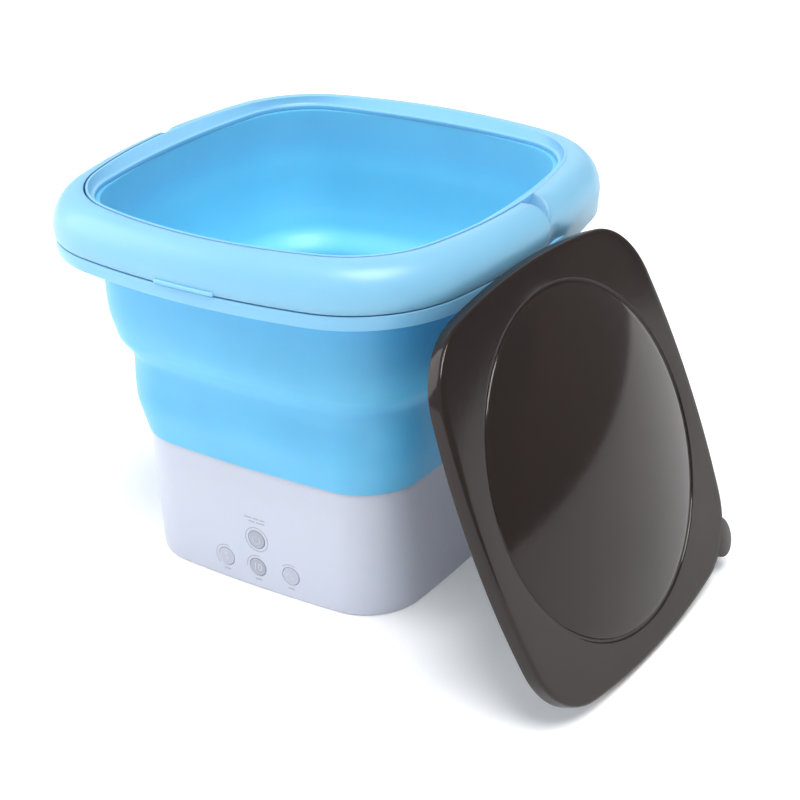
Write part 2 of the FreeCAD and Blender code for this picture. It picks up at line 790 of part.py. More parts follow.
LIP = (bound("lip_half"), bound("lip_side_radius"), bound("lip_corner_radius"))
LEDGE = (bound("ledge_half"), bound("ledge_side_radius"), bound("ledge_corner_radius"))


def larger(outline, step):
    """An outline moved out all round by a step."""
    return tuple(f"{value} + {step}" for value in outline)


def make_side_profile(label, lift, end_radius, rear):
    """A block seen from the side that holds the handle: flat below and round about the pivot
    behind. rear lists its corners from the rearmost spot of the round end to the top front."""
    body = new_body(label)
    depth = bound("pivot_depth")
    floor = f"{bound('flange_level')} + {lift}"
    front = -175
    corners = [(front, floor), (depth, floor, f"-({end_radius})")] + rear + [(front, rear[-1][1])]
    sketch = profile_sketch(body, "side", "YZ_Plane", 0, corners)
    grow(body, "Pad", "block", sketch, 360, both=True)
    return body


def band_ring(label, low_level, inner):
    """The whole band as a solid ring down to a level, open inside an outline."""
    body = new_body(label)
    level_loft(body, "AdditiveLoft", "outside", band_rows(0, low_level))
    hole = outline_sketch(body, "hole", 200, inner)
    grow(body, "Pocket", "open_middle", hole, 60, reverse=True)
    return body


def make_rim_ring():
    body = new_body("rim_shell")
    low, flange = bound("flange_low_level"), bound("flange_level")
    flange_side, flange_corner = bound("flange_side_radius"), bound("flange_corner_radius")
    level_loft(
        body,
        "AdditiveLoft",
        "skirt",
        [
            (low, f"{bound('flange_half')} - 0.6", flange_side, f"{flange_corner} - 1"),
            (flange, bound("flange_half"), flange_side, flange_corner),
        ],
    )
    level_loft(body, "AdditiveLoft", "band", band_rows(0, flange))
    wall = bound("rim_wall")
    inside_half = f"{bound('flange_half')} - {wall}"
    inside = [(low, inside_half, f"{flange_side} - {wall}", f"{flange_corner} - {wall}")]
    level_loft(body, "SubtractiveLoft", "channel", inside + band_rows(wall, flange))
    core = outline_sketch(body, "core", f"{low} + 3.4", LIP)
    grow(body, "Pad", "lip_core", core, f"{bound('lip_level')} - {low} - 3.4")
    ledge_bottom = f"({bound('sleeve_top_level')} + 0.4)"
    sleeve_top = tuple(bound(f"sleeve_top_{n}") for n in ("half", "side_radius", "corner_radius"))
    sleeve_room = outline_sketch(body, "sleeve_room", 200, larger(sleeve_top, 0.2))
    grow(body, "Pocket", "sleeve_pocket", sleeve_room, f"{ledge_bottom} - 200", reverse=True)
    ledge = outline_sketch(body, "ledge", 230, LEDGE)
    grow(body, "Pocket", "ledge_opening", ledge, 30, reverse=True)
    recess = [
        outline_sketch(body, "recess_low", bound("ledge_level"), larger(LEDGE, 1.6)),
        outline_sketch(
            body,
            "recess_high",
            f"{bound('lip_level')} + 0.2",
            (f"{LIP[0]} - 1.5", f"{LIP[1]} - 1.5", f"{LIP[2]} - 1.5"),
        ),
    ]
    loft(body, "SubtractiveLoft", "recess", recess)
    doc.recompute()

    solid_band = band_ring("band_solid", flange, larger(LIP, -0.5))
    web_block = box("web_block", (-170, -2, flange), (170, 26, 260))
    webs = combine("Common", "end_webs", solid_band, web_block)
    with_webs = combine("Fuse", "rim_with_webs", body, webs)

    ring = new_body("handle_room_ring")
    sketch = outline_sketch(ring, "ring", flange, (170, 900, 60), LIP)
    grow(ring, "Pad", "room", sketch, 40)
    gap = f"({bound('pivot_level')} - {bound('flange_level')})"
    slant = [(f"{bound('pivot_depth')} + {gap}", bound("pivot_level")), (27, 262)]
    profile = make_side_profile("handle_room_side", 0, gap, slant)
    room = combine("Common", "handle_room", ring, profile)
    notched = combine("Cut", "rim_notched", with_webs, room)

    deck = new_body("deck_ring")
    deck_edge = (f"{bound('flange_half')} - 0.2", flange_side, flange_corner)
    sketch = outline_sketch(deck, "ring", f"{flange} - {wall}", deck_edge, larger(LIP, -0.5))
    grow(deck, "Pad", "plate", sketch, wall)
    deck_block = box("deck_block", (-170, -170, 200), (170, 20, 230))
    front_deck = combine("Common", "front_deck", deck, deck_block)
    decked = combine("Fuse", "rim_decked", notched, front_deck)
    start = size("lip_half") - 2.7
    spot = ("pivot_depth", "pivot_level")
    bores = [
        cylinder(f"pin_bore_{side}", bound("pin_radius"), 4, (sx * start, *spot), Vector(sx, 0, 0))
        for side, sx in (("right", 1), ("left", -1))
    ]
    right = combine("Cut", "rim_bored", decked, bores[0])
    return combine("Cut", "rim_ring", right, bores[1])


def make_handle():
    floor = f"{bound('flange_level')} + {bound('handle_lift')}"
    wall = bound("rim_wall")
    inner = (bound("handle_inner_half"), f"{LIP[1]} + 1.2", f"{LIP[2]} + 1.2")
    solid_ring = band_ring("handle_solid", floor, inner)

    shell = new_body("handle_shell")
    level_loft(shell, "AdditiveLoft", "outside", band_rows(0, floor))
    level_loft(shell, "SubtractiveLoft", "channel", band_rows(wall, floor))
    inner_wall = outline_sketch(shell, "inner_wall", floor, larger(inner, 2), inner)
    grow(shell, "Pad", "inner_rail", inner_wall, f"{bound('band_top_level')} - 0.9 - ({floor})")
    hole = outline_sketch(shell, "hole", 200, inner)
    grow(shell, "Pocket", "open_middle", hole, 60, reverse=True)

    radius = f"({bound('pivot_level')} - {bound('flange_level')} - {bound('handle_lift')})"
    depth, level = bound("pivot_depth"), bound("pivot_level")
    round_end = [(f"{depth} + {radius}", level, f"-({radius})"), (depth, f"{level} + {radius}")]
    profile = make_side_profile("handle_side", bound("handle_lift"), radius, round_end)
    bar = combine("Common", "handle_bar", shell, profile)

    end_ring = new_body("end_ring")
    spot = (bound("pivot_depth"), bound("pivot_level"))
    rings = circle_sketch(end_ring, "rings", "YZ_Plane", 0, [(*spot, radius), (*spot, f"{radius} - {wall}")])
    grow(end_ring, "Pad", "ring", rings, 360, both=True)
    ends = combine("Common", "handle_ends", solid_ring, end_ring)
    bar = combine("Fuse", "handle_closed", bar, ends)
    start = size("handle_inner_half") + 0.4
    place = ("pivot_depth", "pivot_level")
    for side, sx in (("right", 1), ("left", -1)):
        ear = cylinder(f"ear_{side}", f"{radius} - 1", 5, (sx * start, *place), Vector(sx, 0, 0))
        bar = combine("Fuse", f"handle_ear_{side}", bar, ear)
    tab = box("lift_tab", (-19.2, -145.2, floor), (21.8, -142.6, f"{floor} + 2.2"))
    bar = combine("Fuse", "handle_tabbed", bar, tab)
    hole_radius = f"{bound('pin_radius')} + {bound('running_gap')}"
    right = cylinder("pin_hole_right", hole_radius, 12, (125, *place), Vector(1, 0, 0))
    left = cylinder("pin_hole_left", hole_radius, 12, (-125, *place), Vector(-1, 0, 0))
    bar = combine("Cut", "handle_bored", bar, right)
    return combine("Cut", "handle", bar, left)


def make_handle_pins():
    master = new_body("pin_shape")
    radius = bound("pin_radius")
    revolve(master, "turned", [(0, 0), (radius, 0), (radius, 9.5), (5.4, 9.5), (5.4, 10.7), (0, 10.7)])
    start = size("lip_half") - 2.6
    depth, level = size("pivot_depth"), size("pivot_level")
    return copies("handle_pins", master, [((sx * start, depth, level), (sx, 0, 0)) for sx in (1, -1)])


# ---------------------------------------------------------------- leaning lid
def lid_rotation():
    """Turns the lid from lying face up to leaning on its right-hand side of the washer."""
    yaw, tilt, roll = (math.radians(size(a)) for a in ("lid_yaw", "lid_tilt", "lid_roll"))
    face = Vector(math.cos(tilt) * math.cos(yaw), math.cos(tilt) * math.sin(yaw), math.sin(tilt))
    level = Vector(-math.sin(yaw), math.cos(yaw), 0)
    upward = face.cross(level)
    across = level * math.cos(roll) + upward * math.sin(roll)
    return FreeCAD.Rotation(across, face.cross(across), face, "ZXY")


def make_lid():
    body = new_body("lid")
    outline = tuple(bound(n) for n in ("lid_half", "lid_side_radius", "lid_corner_radius"))
    thick, skirt = bound("lid_thick"), bound("lid_skirt")
    slab = outline_sketch(body, "slab", f"-{skirt}", outline)
    grow(body, "Pad", "outside", slab, skirt)
    hollow = outline_sketch(body, "hollow", f"-{skirt}", larger(outline, -2.0))
    grow(body, "Pocket", "underside", hollow, f"{skirt} - {thick}", reverse=True)
    edge, rise = bound("dome_radius"), bound("dome_rise")
    window = circle_sketch(body, "window", "XY_Plane", 0, [(0, 0, f"{edge} - 1")])
    grow(body, "Pocket", "dome_opening", window, thick)
    bend = f"(({edge})^2 + ({rise})^2) / (2 * {rise})"
    revolve(
        body,
        "dome",
        [
            (edge, f"-{thick}"),
            (edge, 0, f"-({bend})"),
            (0, rise),
            (0, f"{rise} - {thick}", bend),
        ],
    )
    revolve(
        body,
        "ring_groove",
        [(f"{edge} + 0.4", -0.7), (f"{edge} + 2.2", -0.7), (f"{edge} + 2.8", 0.5), (f"{edge} - 0.2", 0.5)],
        kind="Groove",
    )
    reach = f"{bound('tab_reach')} * 0.70711"
    tab = circle_sketch(body, "tab", "XY_Plane", 0, [(reach, f"-{reach}", bound("tab_radius"))])
    grow(body, "Pad", "pull_tab", tab, thick, reverse=True)
    turn = lid_rotation()
    body.Placement = FreeCAD.Placement(Vector(0, 0, 0), turn)
    doc.recompute()
    lowest = body.Shape.optimalBoundingBox().ZMin
    body.Placement = FreeCAD.Placement(Vector(size("lid_centre_x"), size("lid_centre_y"), -lowest), turn)
    return body


# ---------------------------------------------------------------- keys, board and inlet
def front_depth(across, level):
    """How far the bowed front face stands from the tub axis at a spot."""
    side = size("base_side_radius")
    half = size(base_half(level))
    return half - side + math.sqrt(side**2 - across**2)


def make_key(label):
    across, level = KEYS[label]
    body = new_body(label)
    face = front_depth(across, level) + size("key_proud")
    back = face - (size("key_depth") - 1.2)
    stem = circle_sketch(body, "stem", "XZ_Plane", back - 1.2, [(across, level, 2.0)])
    grow(body, "Pad", "plunger", stem, 1.3)
    collar = circle_sketch(body, "collar", "XZ_Plane", back, [(across, level, bound("key_collar_radius"))])
    grow(body, "Pad", "stop_collar", collar, 1.6)
    cap = circle_sketch(body, "cap", "XZ_Plane", back + 1.0, [(across, level, bound("key_radius"))])
    grow(body, "Pad", "key_cap", cap, face - back - 1.0)
    return body


def make_control_board():
    body = new_body("control_board")
    depth, thick = bound("board_depth"), bound("board_thick")
    plate = profile_sketch(
        body, "plate", "XZ_Plane", f"{depth} - {thick}", [(-37, 8), (39, 8), (39, 46), (-37, 46)]
    )
    grow(body, "Pad", "laminate", plate, thick)
    hole_circles = [(x, z, 1.2) for x, z in BOARD_POSTS]
    holes = circle_sketch(body, "holes", "XZ_Plane", f"{depth} - {thick}", hole_circles)
    grow(body, "Pocket", "mounting_holes", holes, 3, reverse=True)
    return body


def make_board_parts():
    """Four press switches behind the keys, each as long as its key's travel allows, and the
    chip, relay and plug on the rear face."""
    depth, rear = size("board_depth"), size("board_depth") - size("board_thick")
    shapes = []
    for across, level in KEYS.values():
        switch = Part.makeBox(6, 1.6, 6, Vector(across - 3, -depth - 1.6, level - 3))
        key_back = front_depth(across, level) + size("key_proud") - size("key_depth")
        reach = key_back - size("key_travel") - 0.1 - depth - 1.6
        button = Part.makeCylinder(1.7, reach, Vector(across, -depth - 1.6, level), Vector(0, -1, 0))
        shapes.append(switch.fuse(button))
    for low, lengths in (((-30, 12), (14, 4, 9)), ((8, 34), (16, 12, 9)), ((-12, 34), (12, 6, 6))):
        shapes.append(Part.makeBox(lengths[0], lengths[1], lengths[2], Vector(low[0], -rear, low[1])))
    parts = doc.addObject("Part::Feature", "board_components")
    parts.Shape = Part.makeCompound(shapes)
    parts.Label = "board_components"
    return parts


def make_power_inlet():
    level = bound("inlet_level")
    radius = bound("inlet_radius")
    wall_face = front_depth(INLET_PLACE, size("inlet_level"))
    back = Vector(0, 1, 0)
    place = (INLET_PLACE, wall_face - 14, "inlet_level")
    barrel = cylinder("inlet_barrel", radius, 14.2, place, back)
    flange_place = (INLET_PLACE, wall_face + 0.2, "inlet_level")
    flange = cylinder("inlet_flange", f"{radius} + 1.8", 1.6, flange_place, back)
    block = box("inlet_block", (-7, wall_face - 24, f"{level} - 6"), (7, wall_face - 13.9, f"{level} + 6"))
    socket = cylinder("inlet_socket", 3.2, 14, (INLET_PLACE, wall_face - 9, "inlet_level"), back)
    centre_pin = cylinder("inlet_pin", 1.05, 10, (INLET_PLACE, wall_face - 10, "inlet_level"), back)
    inlet = combine("Fuse", "inlet_outer", barrel, flange)
    inlet = combine("Fuse", "inlet_solid", inlet, block)
    inlet = combine("Cut", "inlet_open", inlet, socket)
    return combine("Fuse", "power_inlet", inlet, centre_pin)


def make_inlet_nut():
    body = new_body("inlet_nut")
    across = 8.2
    level = bound("inlet_level")
    corners = []
    for i in range(6):
        turn = math.radians(60 * i)
        corners.append((f"{across * math.cos(turn):.4f}", f"{level} + {across * math.sin(turn):.4f}"))
    wall_face = front_depth(INLET_PLACE, size("inlet_level"))
    depth = f"-{wall_face - size('base_wall') - 0.4}"
    sketch = profile_sketch(body, "hexagon", "XZ_Plane", depth, corners)
    grow(body, "Pad", "nut", sketch, 2.4)
    thread = (INLET_PLACE, level, f"{bound('inlet_radius')} + 0.02")
    hole = circle_sketch(body, "hole", "XZ_Plane", depth, [thread])
    grow(body, "Pocket", "thread", hole, 6, both=True)
    return body


# the leads run from the board's rear face to the motor, and from the inlet round the motor to the board
MOTOR_LEAD_ROUTE = [
    (-6, -78.4, 37),
    (-6, -66, 37),
    (4, -52, 31),
    (17, -42, 26),
    (26.9, -30.1, 24),
    (31.6, -16.8, 24),
]
INLET_LEAD_ROUTE = [
    (0, 72.1, 20),
    (0, 58, 20),
    (-14, 42, 18),
    (-32, 28, 16.5),
    (-42, 2, 16.5),
    (-40, -26, 16.5),
    (-31, -50, 16.5),
    (-23, -66, 16.5),
    (-23, -80.4, 16.5),
]


def make_lead(label, points, radius):
    """A sheathed lead: straight runs joined by tangent arcs, swept with a round section."""
    spots = [Vector(*p) for p in points]
    edges = []
    start = spots[0]
    for i in range(1, len(spots) - 1):
        before, after = spots[i - 1] - spots[i], spots[i + 1] - spots[i]
        turn = math.pi - before.getAngle(after)
        trim = 0.45 * min(before.Length, after.Length)
        bend = trim / math.tan(turn / 2)
        enter = spots[i] + before.normalize() * trim
        leave = spots[i] + after.normalize() * trim
        inward = (before + after).normalize()
        centre = spots[i] + inward * math.hypot(trim, bend)
        middle = centre - inward * bend
        edges.append(Part.makeLine(start, enter))
        edges.append(Part.Arc(enter, middle, leave).toShape())
        print(f"{label}: bend radius {bend:.1f}")
        start = leave
    edges.append(Part.makeLine(start, spots[-1]))
    path = Part.Wire(edges)
    direction = spots[1] - spots[0]
    section = Part.Wire(Part.makeCircle(radius, spots[0], direction))
    tube = path.makePipeShell([section], True, True)
    expected = math.pi * radius**2 * path.Length
    if abs(tube.Volume / expected - 1) > 0.02:
        raise RuntimeError(f"{label} is {tube.Volume:.0f}, and should be {expected:.0f}")
    lead = doc.addObject("Part::Feature", label)
    lead.Shape = tube
    lead.Label = label
    return lead


def make_sub_parts():
    """Every sub-part of the washer, in the order in which it is put together."""
    centre = centre_distance()
    up = (0, 0, 1)
    columns = four_corners(size("column_place"))
    cover_level = size("cover_level")
    plate_level = size("plate_level")
    top_of_plate = plate_level + size("plate_thick")
    flange_level = size("base_height") - size("base_wall")
    board_rear = -(size("board_depth") - size("board_thick"))
    cover_screw = screw("cover_screw_shape", 1.5, 14.0, 3.0, 1.9)
    floor_screw = screw("floor_screw_shape", 1.5, 7.4, 3.0, 1.9)
    plate_screw = screw("plate_screw_shape", 1.25, 10.0, 2.6, 1.7)
    motor_screw = screw("motor_screw_shape", 1.3, 2.4, 2.6, 1.6)
    board_screw = screw("board_screw_shape", 1.0, 6.0, 2.1, 1.4)
    cap_screw = screw("pulsator_screw_shape", 2.0, 12.0, 4.0, 2.2)
    shoulder = sleeve_part("shoulder_fold", FOLD)
    drive_gear, pinion = make_gears()
    parts = [
        make_base_housing(),
        make_bottom_cover(),
        make_feet(),
        copies("cover_screws", cover_screw, [((x, y, cover_level), up) for x, y in columns]),
        make_lower_tub_wall(),
        shoulder,
        sleeve_part("upper_tub_wall", UPPER_WALL),
        make_tub_floor(),
        copies("floor_screws", floor_screw, [((x, y, flange_level), up) for x, y in FLOOR_SCREWS]),
        make_bushes(),
        make_shaft_seal(),
        make_output_shaft(),
        make_circlip(),
        drive_gear,
        pinion,
        make_motor(),
        make_motor_shaft(),
        make_gear_plate(),
        copies("plate_screws", plate_screw, [((x, y, plate_level), up) for x, y in POSTS]),
        copies("motor_screws", motor_screw, [((centre, y, top_of_plate), (0, 0, -1)) for y in (11.0, -11.0)]),
        make_pulsator(),
        copies("pulsator_screw", cap_screw, [((0, 0, 107.5), (0, 0, -1))]),
        make_pulsator_cap(),
        make_rim_ring(),
        make_handle(),
        make_handle_pins(),
        make_lid(),
        *[make_key(label) for label in KEYS],
        make_control_board(),
        make_board_parts(),
        copies("board_screws", board_screw, [((x, board_rear, z), (0, -1, 0)) for x, z in BOARD_POSTS]),
        make_power_inlet(),
        make_inlet_nut(),
        make_lead("motor_leads", MOTOR_LEAD_ROUTE, 1.5),
        make_lead("inlet_leads", INLET_LEAD_ROUTE, 1.8),
    ]
    return parts


def main():
    parts = make_sub_parts()
    doc.recompute()
    for item in doc.Objects:
        if "Invalid" in item.State or "Error" in item.State:
            raise RuntimeError(f"{item.Label} is {item.State}")
    os.makedirs("parts", exist_ok=True)
    for part in parts:
        shape = part.Shape
        if shape.isNull() or not shape.isValid():
            raise RuntimeError(f"{part.Label} has no valid shape")
        shape.exportStep(f"parts/{part.Label}.step")
        print(f"{part.Label}: {shape.Volume / 1000:.2f} cm3, {len(shape.Solids)} solid(s)")


main()
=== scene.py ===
import json
import math

import bmesh
import bpy
from mathutils import Matrix, Vector


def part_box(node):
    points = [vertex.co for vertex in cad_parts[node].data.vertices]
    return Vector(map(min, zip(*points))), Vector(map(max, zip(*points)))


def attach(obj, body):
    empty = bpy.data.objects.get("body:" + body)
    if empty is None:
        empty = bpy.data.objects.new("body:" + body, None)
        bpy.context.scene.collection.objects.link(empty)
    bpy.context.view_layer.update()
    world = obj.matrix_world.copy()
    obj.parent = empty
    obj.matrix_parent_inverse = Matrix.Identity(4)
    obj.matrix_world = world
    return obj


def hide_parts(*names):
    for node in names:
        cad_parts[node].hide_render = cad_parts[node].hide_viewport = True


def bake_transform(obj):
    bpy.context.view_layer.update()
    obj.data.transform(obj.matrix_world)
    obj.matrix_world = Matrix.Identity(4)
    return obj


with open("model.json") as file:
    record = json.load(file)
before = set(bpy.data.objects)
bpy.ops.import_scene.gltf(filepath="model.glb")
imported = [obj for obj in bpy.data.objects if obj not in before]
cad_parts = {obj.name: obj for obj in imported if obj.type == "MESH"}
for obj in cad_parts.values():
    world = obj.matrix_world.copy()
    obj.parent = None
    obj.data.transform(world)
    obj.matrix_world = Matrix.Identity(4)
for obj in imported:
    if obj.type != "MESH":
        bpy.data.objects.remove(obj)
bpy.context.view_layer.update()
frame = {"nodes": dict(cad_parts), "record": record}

bl_info = {
    "name": "Portable mini washer",
    "version": (1, 0, 0),
    "blender": (4, 5, 0),
    "location": "3D View > Sidebar > Mini washer",
    "description": "Builds the looks of a folding mini washer around its packed CAD frame",
    "category": "Object",
}

# Lengths are in millimetres here and become metres when a piece is finished.
MM = 0.001
COLUMNS = 256
SHARP_ANGLE = math.radians(38)

# An outline is a rounded square: half width at mid-side, radius of a side, radius of a corner.
BASE_LOW = (95.7, 900.0, 37.6)
BASE_HIGH = (97.4, 900.0, 37.6)
BASE_OPENING = (84.0, 900.0, 25.6)
FLANGE_EDGE = (143.6, 440.0, 73.0)
BAND_EDGE = (144.0, 440.0, 73.0)
BAND_TOP = (129.4, 290.0, 62.5)
LIP = (128.0, 282.0, 61.4)
LEDGE = (117.8, 440.0, 47.3)
SLEEVE_TOP = (124.0, 316.2, 52.7)
HANDLE_INNER = (129.2, 283.2, 62.6)
LID_EDGE = (119.0, 440.0, 48.5)

BASE_TOP = 85.0
BASE_WALL = 2.4
SLEEVE_WALL = 2.2
RIM_WALL = 2.2

# keys: place across and level
KEYS = {
    "power_key": (2.1, 35.1),
    "five_key": (-22.6, 15.6),
    "ten_key": (1.5, 15.3),
    "mode_key": (26.0, 16.1),
}
KEY_WELL_RADIUS = 6.3
KEY_WELL_DEPTH = 8.0
INLET_LEVEL = 20.0
INLET_HOLE_RADIUS = 5.5
INLET_HOLE_DEPTH = 12.0

# rim and handle levels
SKIRT_LEVEL = 208.6
DECK_LEVEL = 217.1
FLANGE_DRAFT = 0.6
HANDLE_FLOOR = 217.7
BAND_LOW_LEVEL = 221.0
BAND_HIGH_LEVEL = 243.0
LIP_LEVEL = 243.3
LEDGE_LEVEL = 238.2
LEDGE_SEAT = 0.05
LAP = 0.12
PIVOT_DEPTH = -1.0
PIVOT_LEVEL = 230.5
BOSS_FACE = 129.6
BOSS_RADIUS = 11.8
BOSS_LENGTH = 5.0
PIN_HOLE_RADIUS = 4.05
HANDLE_END_RADIUS = 12.8
ROOM_RADIUS = 13.4
ROOM_SLANT = 0.46

# the finger hollow low on the fixed band, behind the handle's end
SCOOP_PLACE = (144.0, 17.0, 219.0)
SCOOP_SPREAD = (30.0, 8.0, 8.0)
SCOOP_DEPTH = 2.6

# the tab under the front of the handle that a finger lifts
TAB_BAR = (41.0, 3.0, 2.2)
TAB_BAR_PLACE = (1.3, -143.65, 1.15)
TAB_BAR_EDGE = 0.7

# Up the outside of the soft sleeve: level, half width, side radius, corner radius.
SLEEVE_ROWS = [
    (85.0, 98.4, 930.0, 38.6),
    (96.0, 101.3, 850.0, 41.0),
    (108.0, 104.2, 720.0, 43.0),
    (122.0, 105.2, 640.0, 45.0),
    (138.0, 105.5, 600.0, 46.0),
    (144.0, 108.9, 540.0, 47.6),
    (150.0, 113.5, 460.0, 50.0),
    (156.0, 116.1, 390.0, 51.4),
    (160.0, 117.6, 360.0, 52.0),
    (168.0, 119.3, 345.0, 52.4),
    (180.0, 120.1, 335.0, 52.6),
    (206.0, 120.4, 330.0, 52.2),
    (218.0, 124.0, 316.2, 52.7),
    (235.4, 124.0, 316.2, 52.7),
]
SLEEVE_STEP = 2.2
BEAD_LEVEL = 203.0
# the shelf inside the shoulder: how much the wall thickens or thins, and at which level
SHELF = ((1.3, 141.5), (-0.9, 153.5))
SHELF_SPREAD = 5.0

# leaning lid, in its own frame with its face up at level 0
LID_SKIRT = 9.0
LID_PLATE = 2.2
LID_WALL = 2.0
DOME_RADIUS = 100.0
DOME_RISE = 13.0
CROWN_RADII = (2.0, 8.0, 16.0, 26.0, 38.0, 50.0, 62.0, 74.0, 84.0, 91.0, 96.0, 98.8)
GROOVE_WIDTH = 2.5
GROOVE_DEPTH = 0.75
TAB_REACH = 138.5
TAB_RADIUS = 12.5
LID_YAW, LID_TILT, LID_ROLL = (math.radians(a) for a in (-1.5, 21.8, 0.5))
LID_CENTRE = (196.9, -31.7)


def linear(colour):
    """An sRGB hex colour as linear red, green, blue and alpha."""
    parts = [int(colour[i : i + 2], 16) / 255 for i in (0, 2, 4)]
    return tuple(p / 12.92 if p <= 0.04045 else ((p + 0.055) / 1.055) ** 2.4 for p in parts) + (1.0,)


class WasherLooks(bpy.types.PropertyGroup):
    """Colours and edge sizes that a user may change."""

    rim_colour: bpy.props.FloatVectorProperty(
        name="Rim",
        description="Colour of the rim and handle",
        subtype="COLOR",
        size=4,
        default=linear("8FCAEF"),
    )
    tub_colour: bpy.props.FloatVectorProperty(
        name="Tub",
        description="Colour of the soft tub",
        subtype="COLOR",
        size=4,
        default=linear("70C3EE"),
    )
    # painted light: the tub's inner face gets a paler copy of the tub colour, standing in for the brighter
    # light inside the drum
    tub_inside_painted_lighter: bpy.props.FloatVectorProperty(
        name="Tub inside",
        description="Colour of the tub's inner face",
        subtype="COLOR",
        size=4,
        default=linear("8AD6F7"),
    )
    base_colour: bpy.props.FloatVectorProperty(
        name="Base",
        description="Colour of the base housing",
        subtype="COLOR",
        size=4,
        default=linear("CBD0DE"),
    )
    lid_colour: bpy.props.FloatVectorProperty(
        name="Lid",
        description="Colour of the smoked lid",
        subtype="COLOR",
        size=4,
        default=linear("3F3735"),
    )
    edge_radius: bpy.props.FloatProperty(
        name="Edge radius",
        description="Rounding of the handle and band ends",
        unit="LENGTH",
        default=1.2 * MM,
    )


# ---------------------------------------------------------------- outlines and lofts
def reach(outline, angle):
    """Distance from the axis to an outline in the direction of an angle."""
    half, side, corner = outline
    offset = half - side
    centre = (2 * offset + math.sqrt(4 * offset**2 - 8 * (offset**2 - (side - corner) ** 2))) / 4
    turn = abs((angle + math.pi / 4) % (math.pi / 2) - math.pi / 4)
    tangent = math.atan2(centre, centre - offset)
    split = math.atan2(side * math.sin(tangent), offset + side * math.cos(tangent))
    if turn <= split:
        return offset * math.cos(turn) + math.sqrt(side**2 - (offset * math.sin(turn)) ** 2)
    along = centre * (math.cos(turn) + math.sin(turn))
    return along + math.sqrt(along**2 - 2 * centre**2 + corner**2)


def moved(outline, step):
    """An outline moved out all round by a step, or in by a negative one."""
    return tuple(value + step for value in outline)


def mixed(low, high, share):
    """An outline part of the way from one to another."""
    return tuple(a + (b - a) * share for a, b in zip(low, high))


def spot_on(outline, angle, level):
    """The point of an outline at an angle and a level."""
    distance = reach(outline, angle)
    return Vector((distance * math.cos(angle), distance * math.sin(angle), level))


def softened(path, steps=4):
    """Rows (outline, level) of a section whose corners (outline, level, radius) are rounded."""
    rows = []
    corners = [(Vector((*outline, level)), radius) for outline, level, radius in path]
    count = len(corners)
    for i, (spot, radius) in enumerate(corners):
        before, after = corners[i - 1][0] - spot, corners[(i + 1) % count][0] - spot
        if radius == 0:
            rows.append((tuple(spot[:3]), spot[3]))
            continue
        sizes = [math.hypot(way[0], way[3]) for way in (before, after)]
        start = spot + before * min(radius / sizes[0], 0.48)
        end = spot + after * min(radius / sizes[1], 0.48)
        for step in range(steps + 1):
            t = step / steps
            point = start * (1 - t) ** 2 + spot * 2 * t * (1 - t) + end * t**2
            rows.append((tuple(point[:3]), point[3]))
    return rows


def loft(bm, rows, closed=True, columns=COLUMNS):
    """Rings of an outline joined from row to row: one circle, extruded ring by ring.
    closed joins the last ring to the first, and otherwise both ends are filled."""
    ring = bmesh.ops.create_circle(bm, cap_ends=False, radius=1.0, segments=columns)["verts"]
    edges = list({edge for vert in ring for edge in vert.link_edges})
    first = edges
    for row, (outline, level) in enumerate(rows):
        if row:
            made = bmesh.ops.extrude_edge_only(bm, edges=edges)["geom"]
            ring = [item for item in made if isinstance(item, bmesh.types.BMVert)]
            inside = set(ring)
            edges = [
                item
                for item in made
                if isinstance(item, bmesh.types.BMEdge) and all(vert in inside for vert in item.verts)
            ]
        for vert in ring:
            vert.co = spot_on(outline, math.atan2(vert.co.y, vert.co.x), level)
    if closed:
        bmesh.ops.bridge_loops(bm, edges=edges + first)
    else:
        bmesh.ops.edgeloop_fill(bm, edges=first)
        bmesh.ops.edgeloop_fill(bm, edges=edges)


def finished(name, bm, material, body=None):
    """A piece from a bmesh in millimetres: scaled to metres, turned outwards, smoothed and placed."""
    bmesh.ops.remove_doubles(bm, verts=bm.verts, dist=1e-4)
    bmesh.ops.recalc_face_normals(bm, faces=bm.faces)
    bmesh.ops.scale(bm, vec=(MM, MM, MM), verts=bm.verts)
    mesh = bpy.data.meshes.new(name)
    bm.to_mesh(mesh)
    bm.free()
    mesh.materials.append(material)
    mesh.shade_smooth()
    mesh.set_sharp_from_angle(angle=SHARP_ANGLE)
    piece = bpy.data.objects.new(name, mesh)
    bpy.context.scene.collection.objects.link(piece)
    if body:
        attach(piece, body)
    return piece


def boolean(piece, tool, operation):
    """The piece cut by or joined with a tool object, which is used up."""
    modifier = piece.modifiers.new(operation.lower(), "BOOLEAN")
    modifier.object = tool
    modifier.operation = operation
    modifier.solver = "EXACT"
    graph = bpy.context.evaluated_depsgraph_get()
    graph.update()
    mesh = bpy.data.meshes.new_from_object(piece.evaluated_get(graph))
    piece.modifiers.remove(modifier)
    piece.data = mesh
    mesh.shade_smooth()
    mesh.set_sharp_from_angle(angle=SHARP_ANGLE)
    bpy.data.objects.remove(tool)
    if not mesh.polygons:
        raise RuntimeError(f"{piece.name} was lost in a boolean")


def loose_tool(bm):
    """A mesh object in metres that only serves a boolean."""
    bmesh.ops.recalc_face_normals(bm, faces=bm.faces)
    bmesh.ops.scale(bm, vec=(MM, MM, MM), verts=bm.verts)
    mesh = bpy.data.meshes.new("tool")
    bm.to_mesh(mesh)
    bm.free()
    tool = bpy.data.objects.new("tool", mesh)
    bpy.context.scene.collection.objects.link(tool)
    return tool


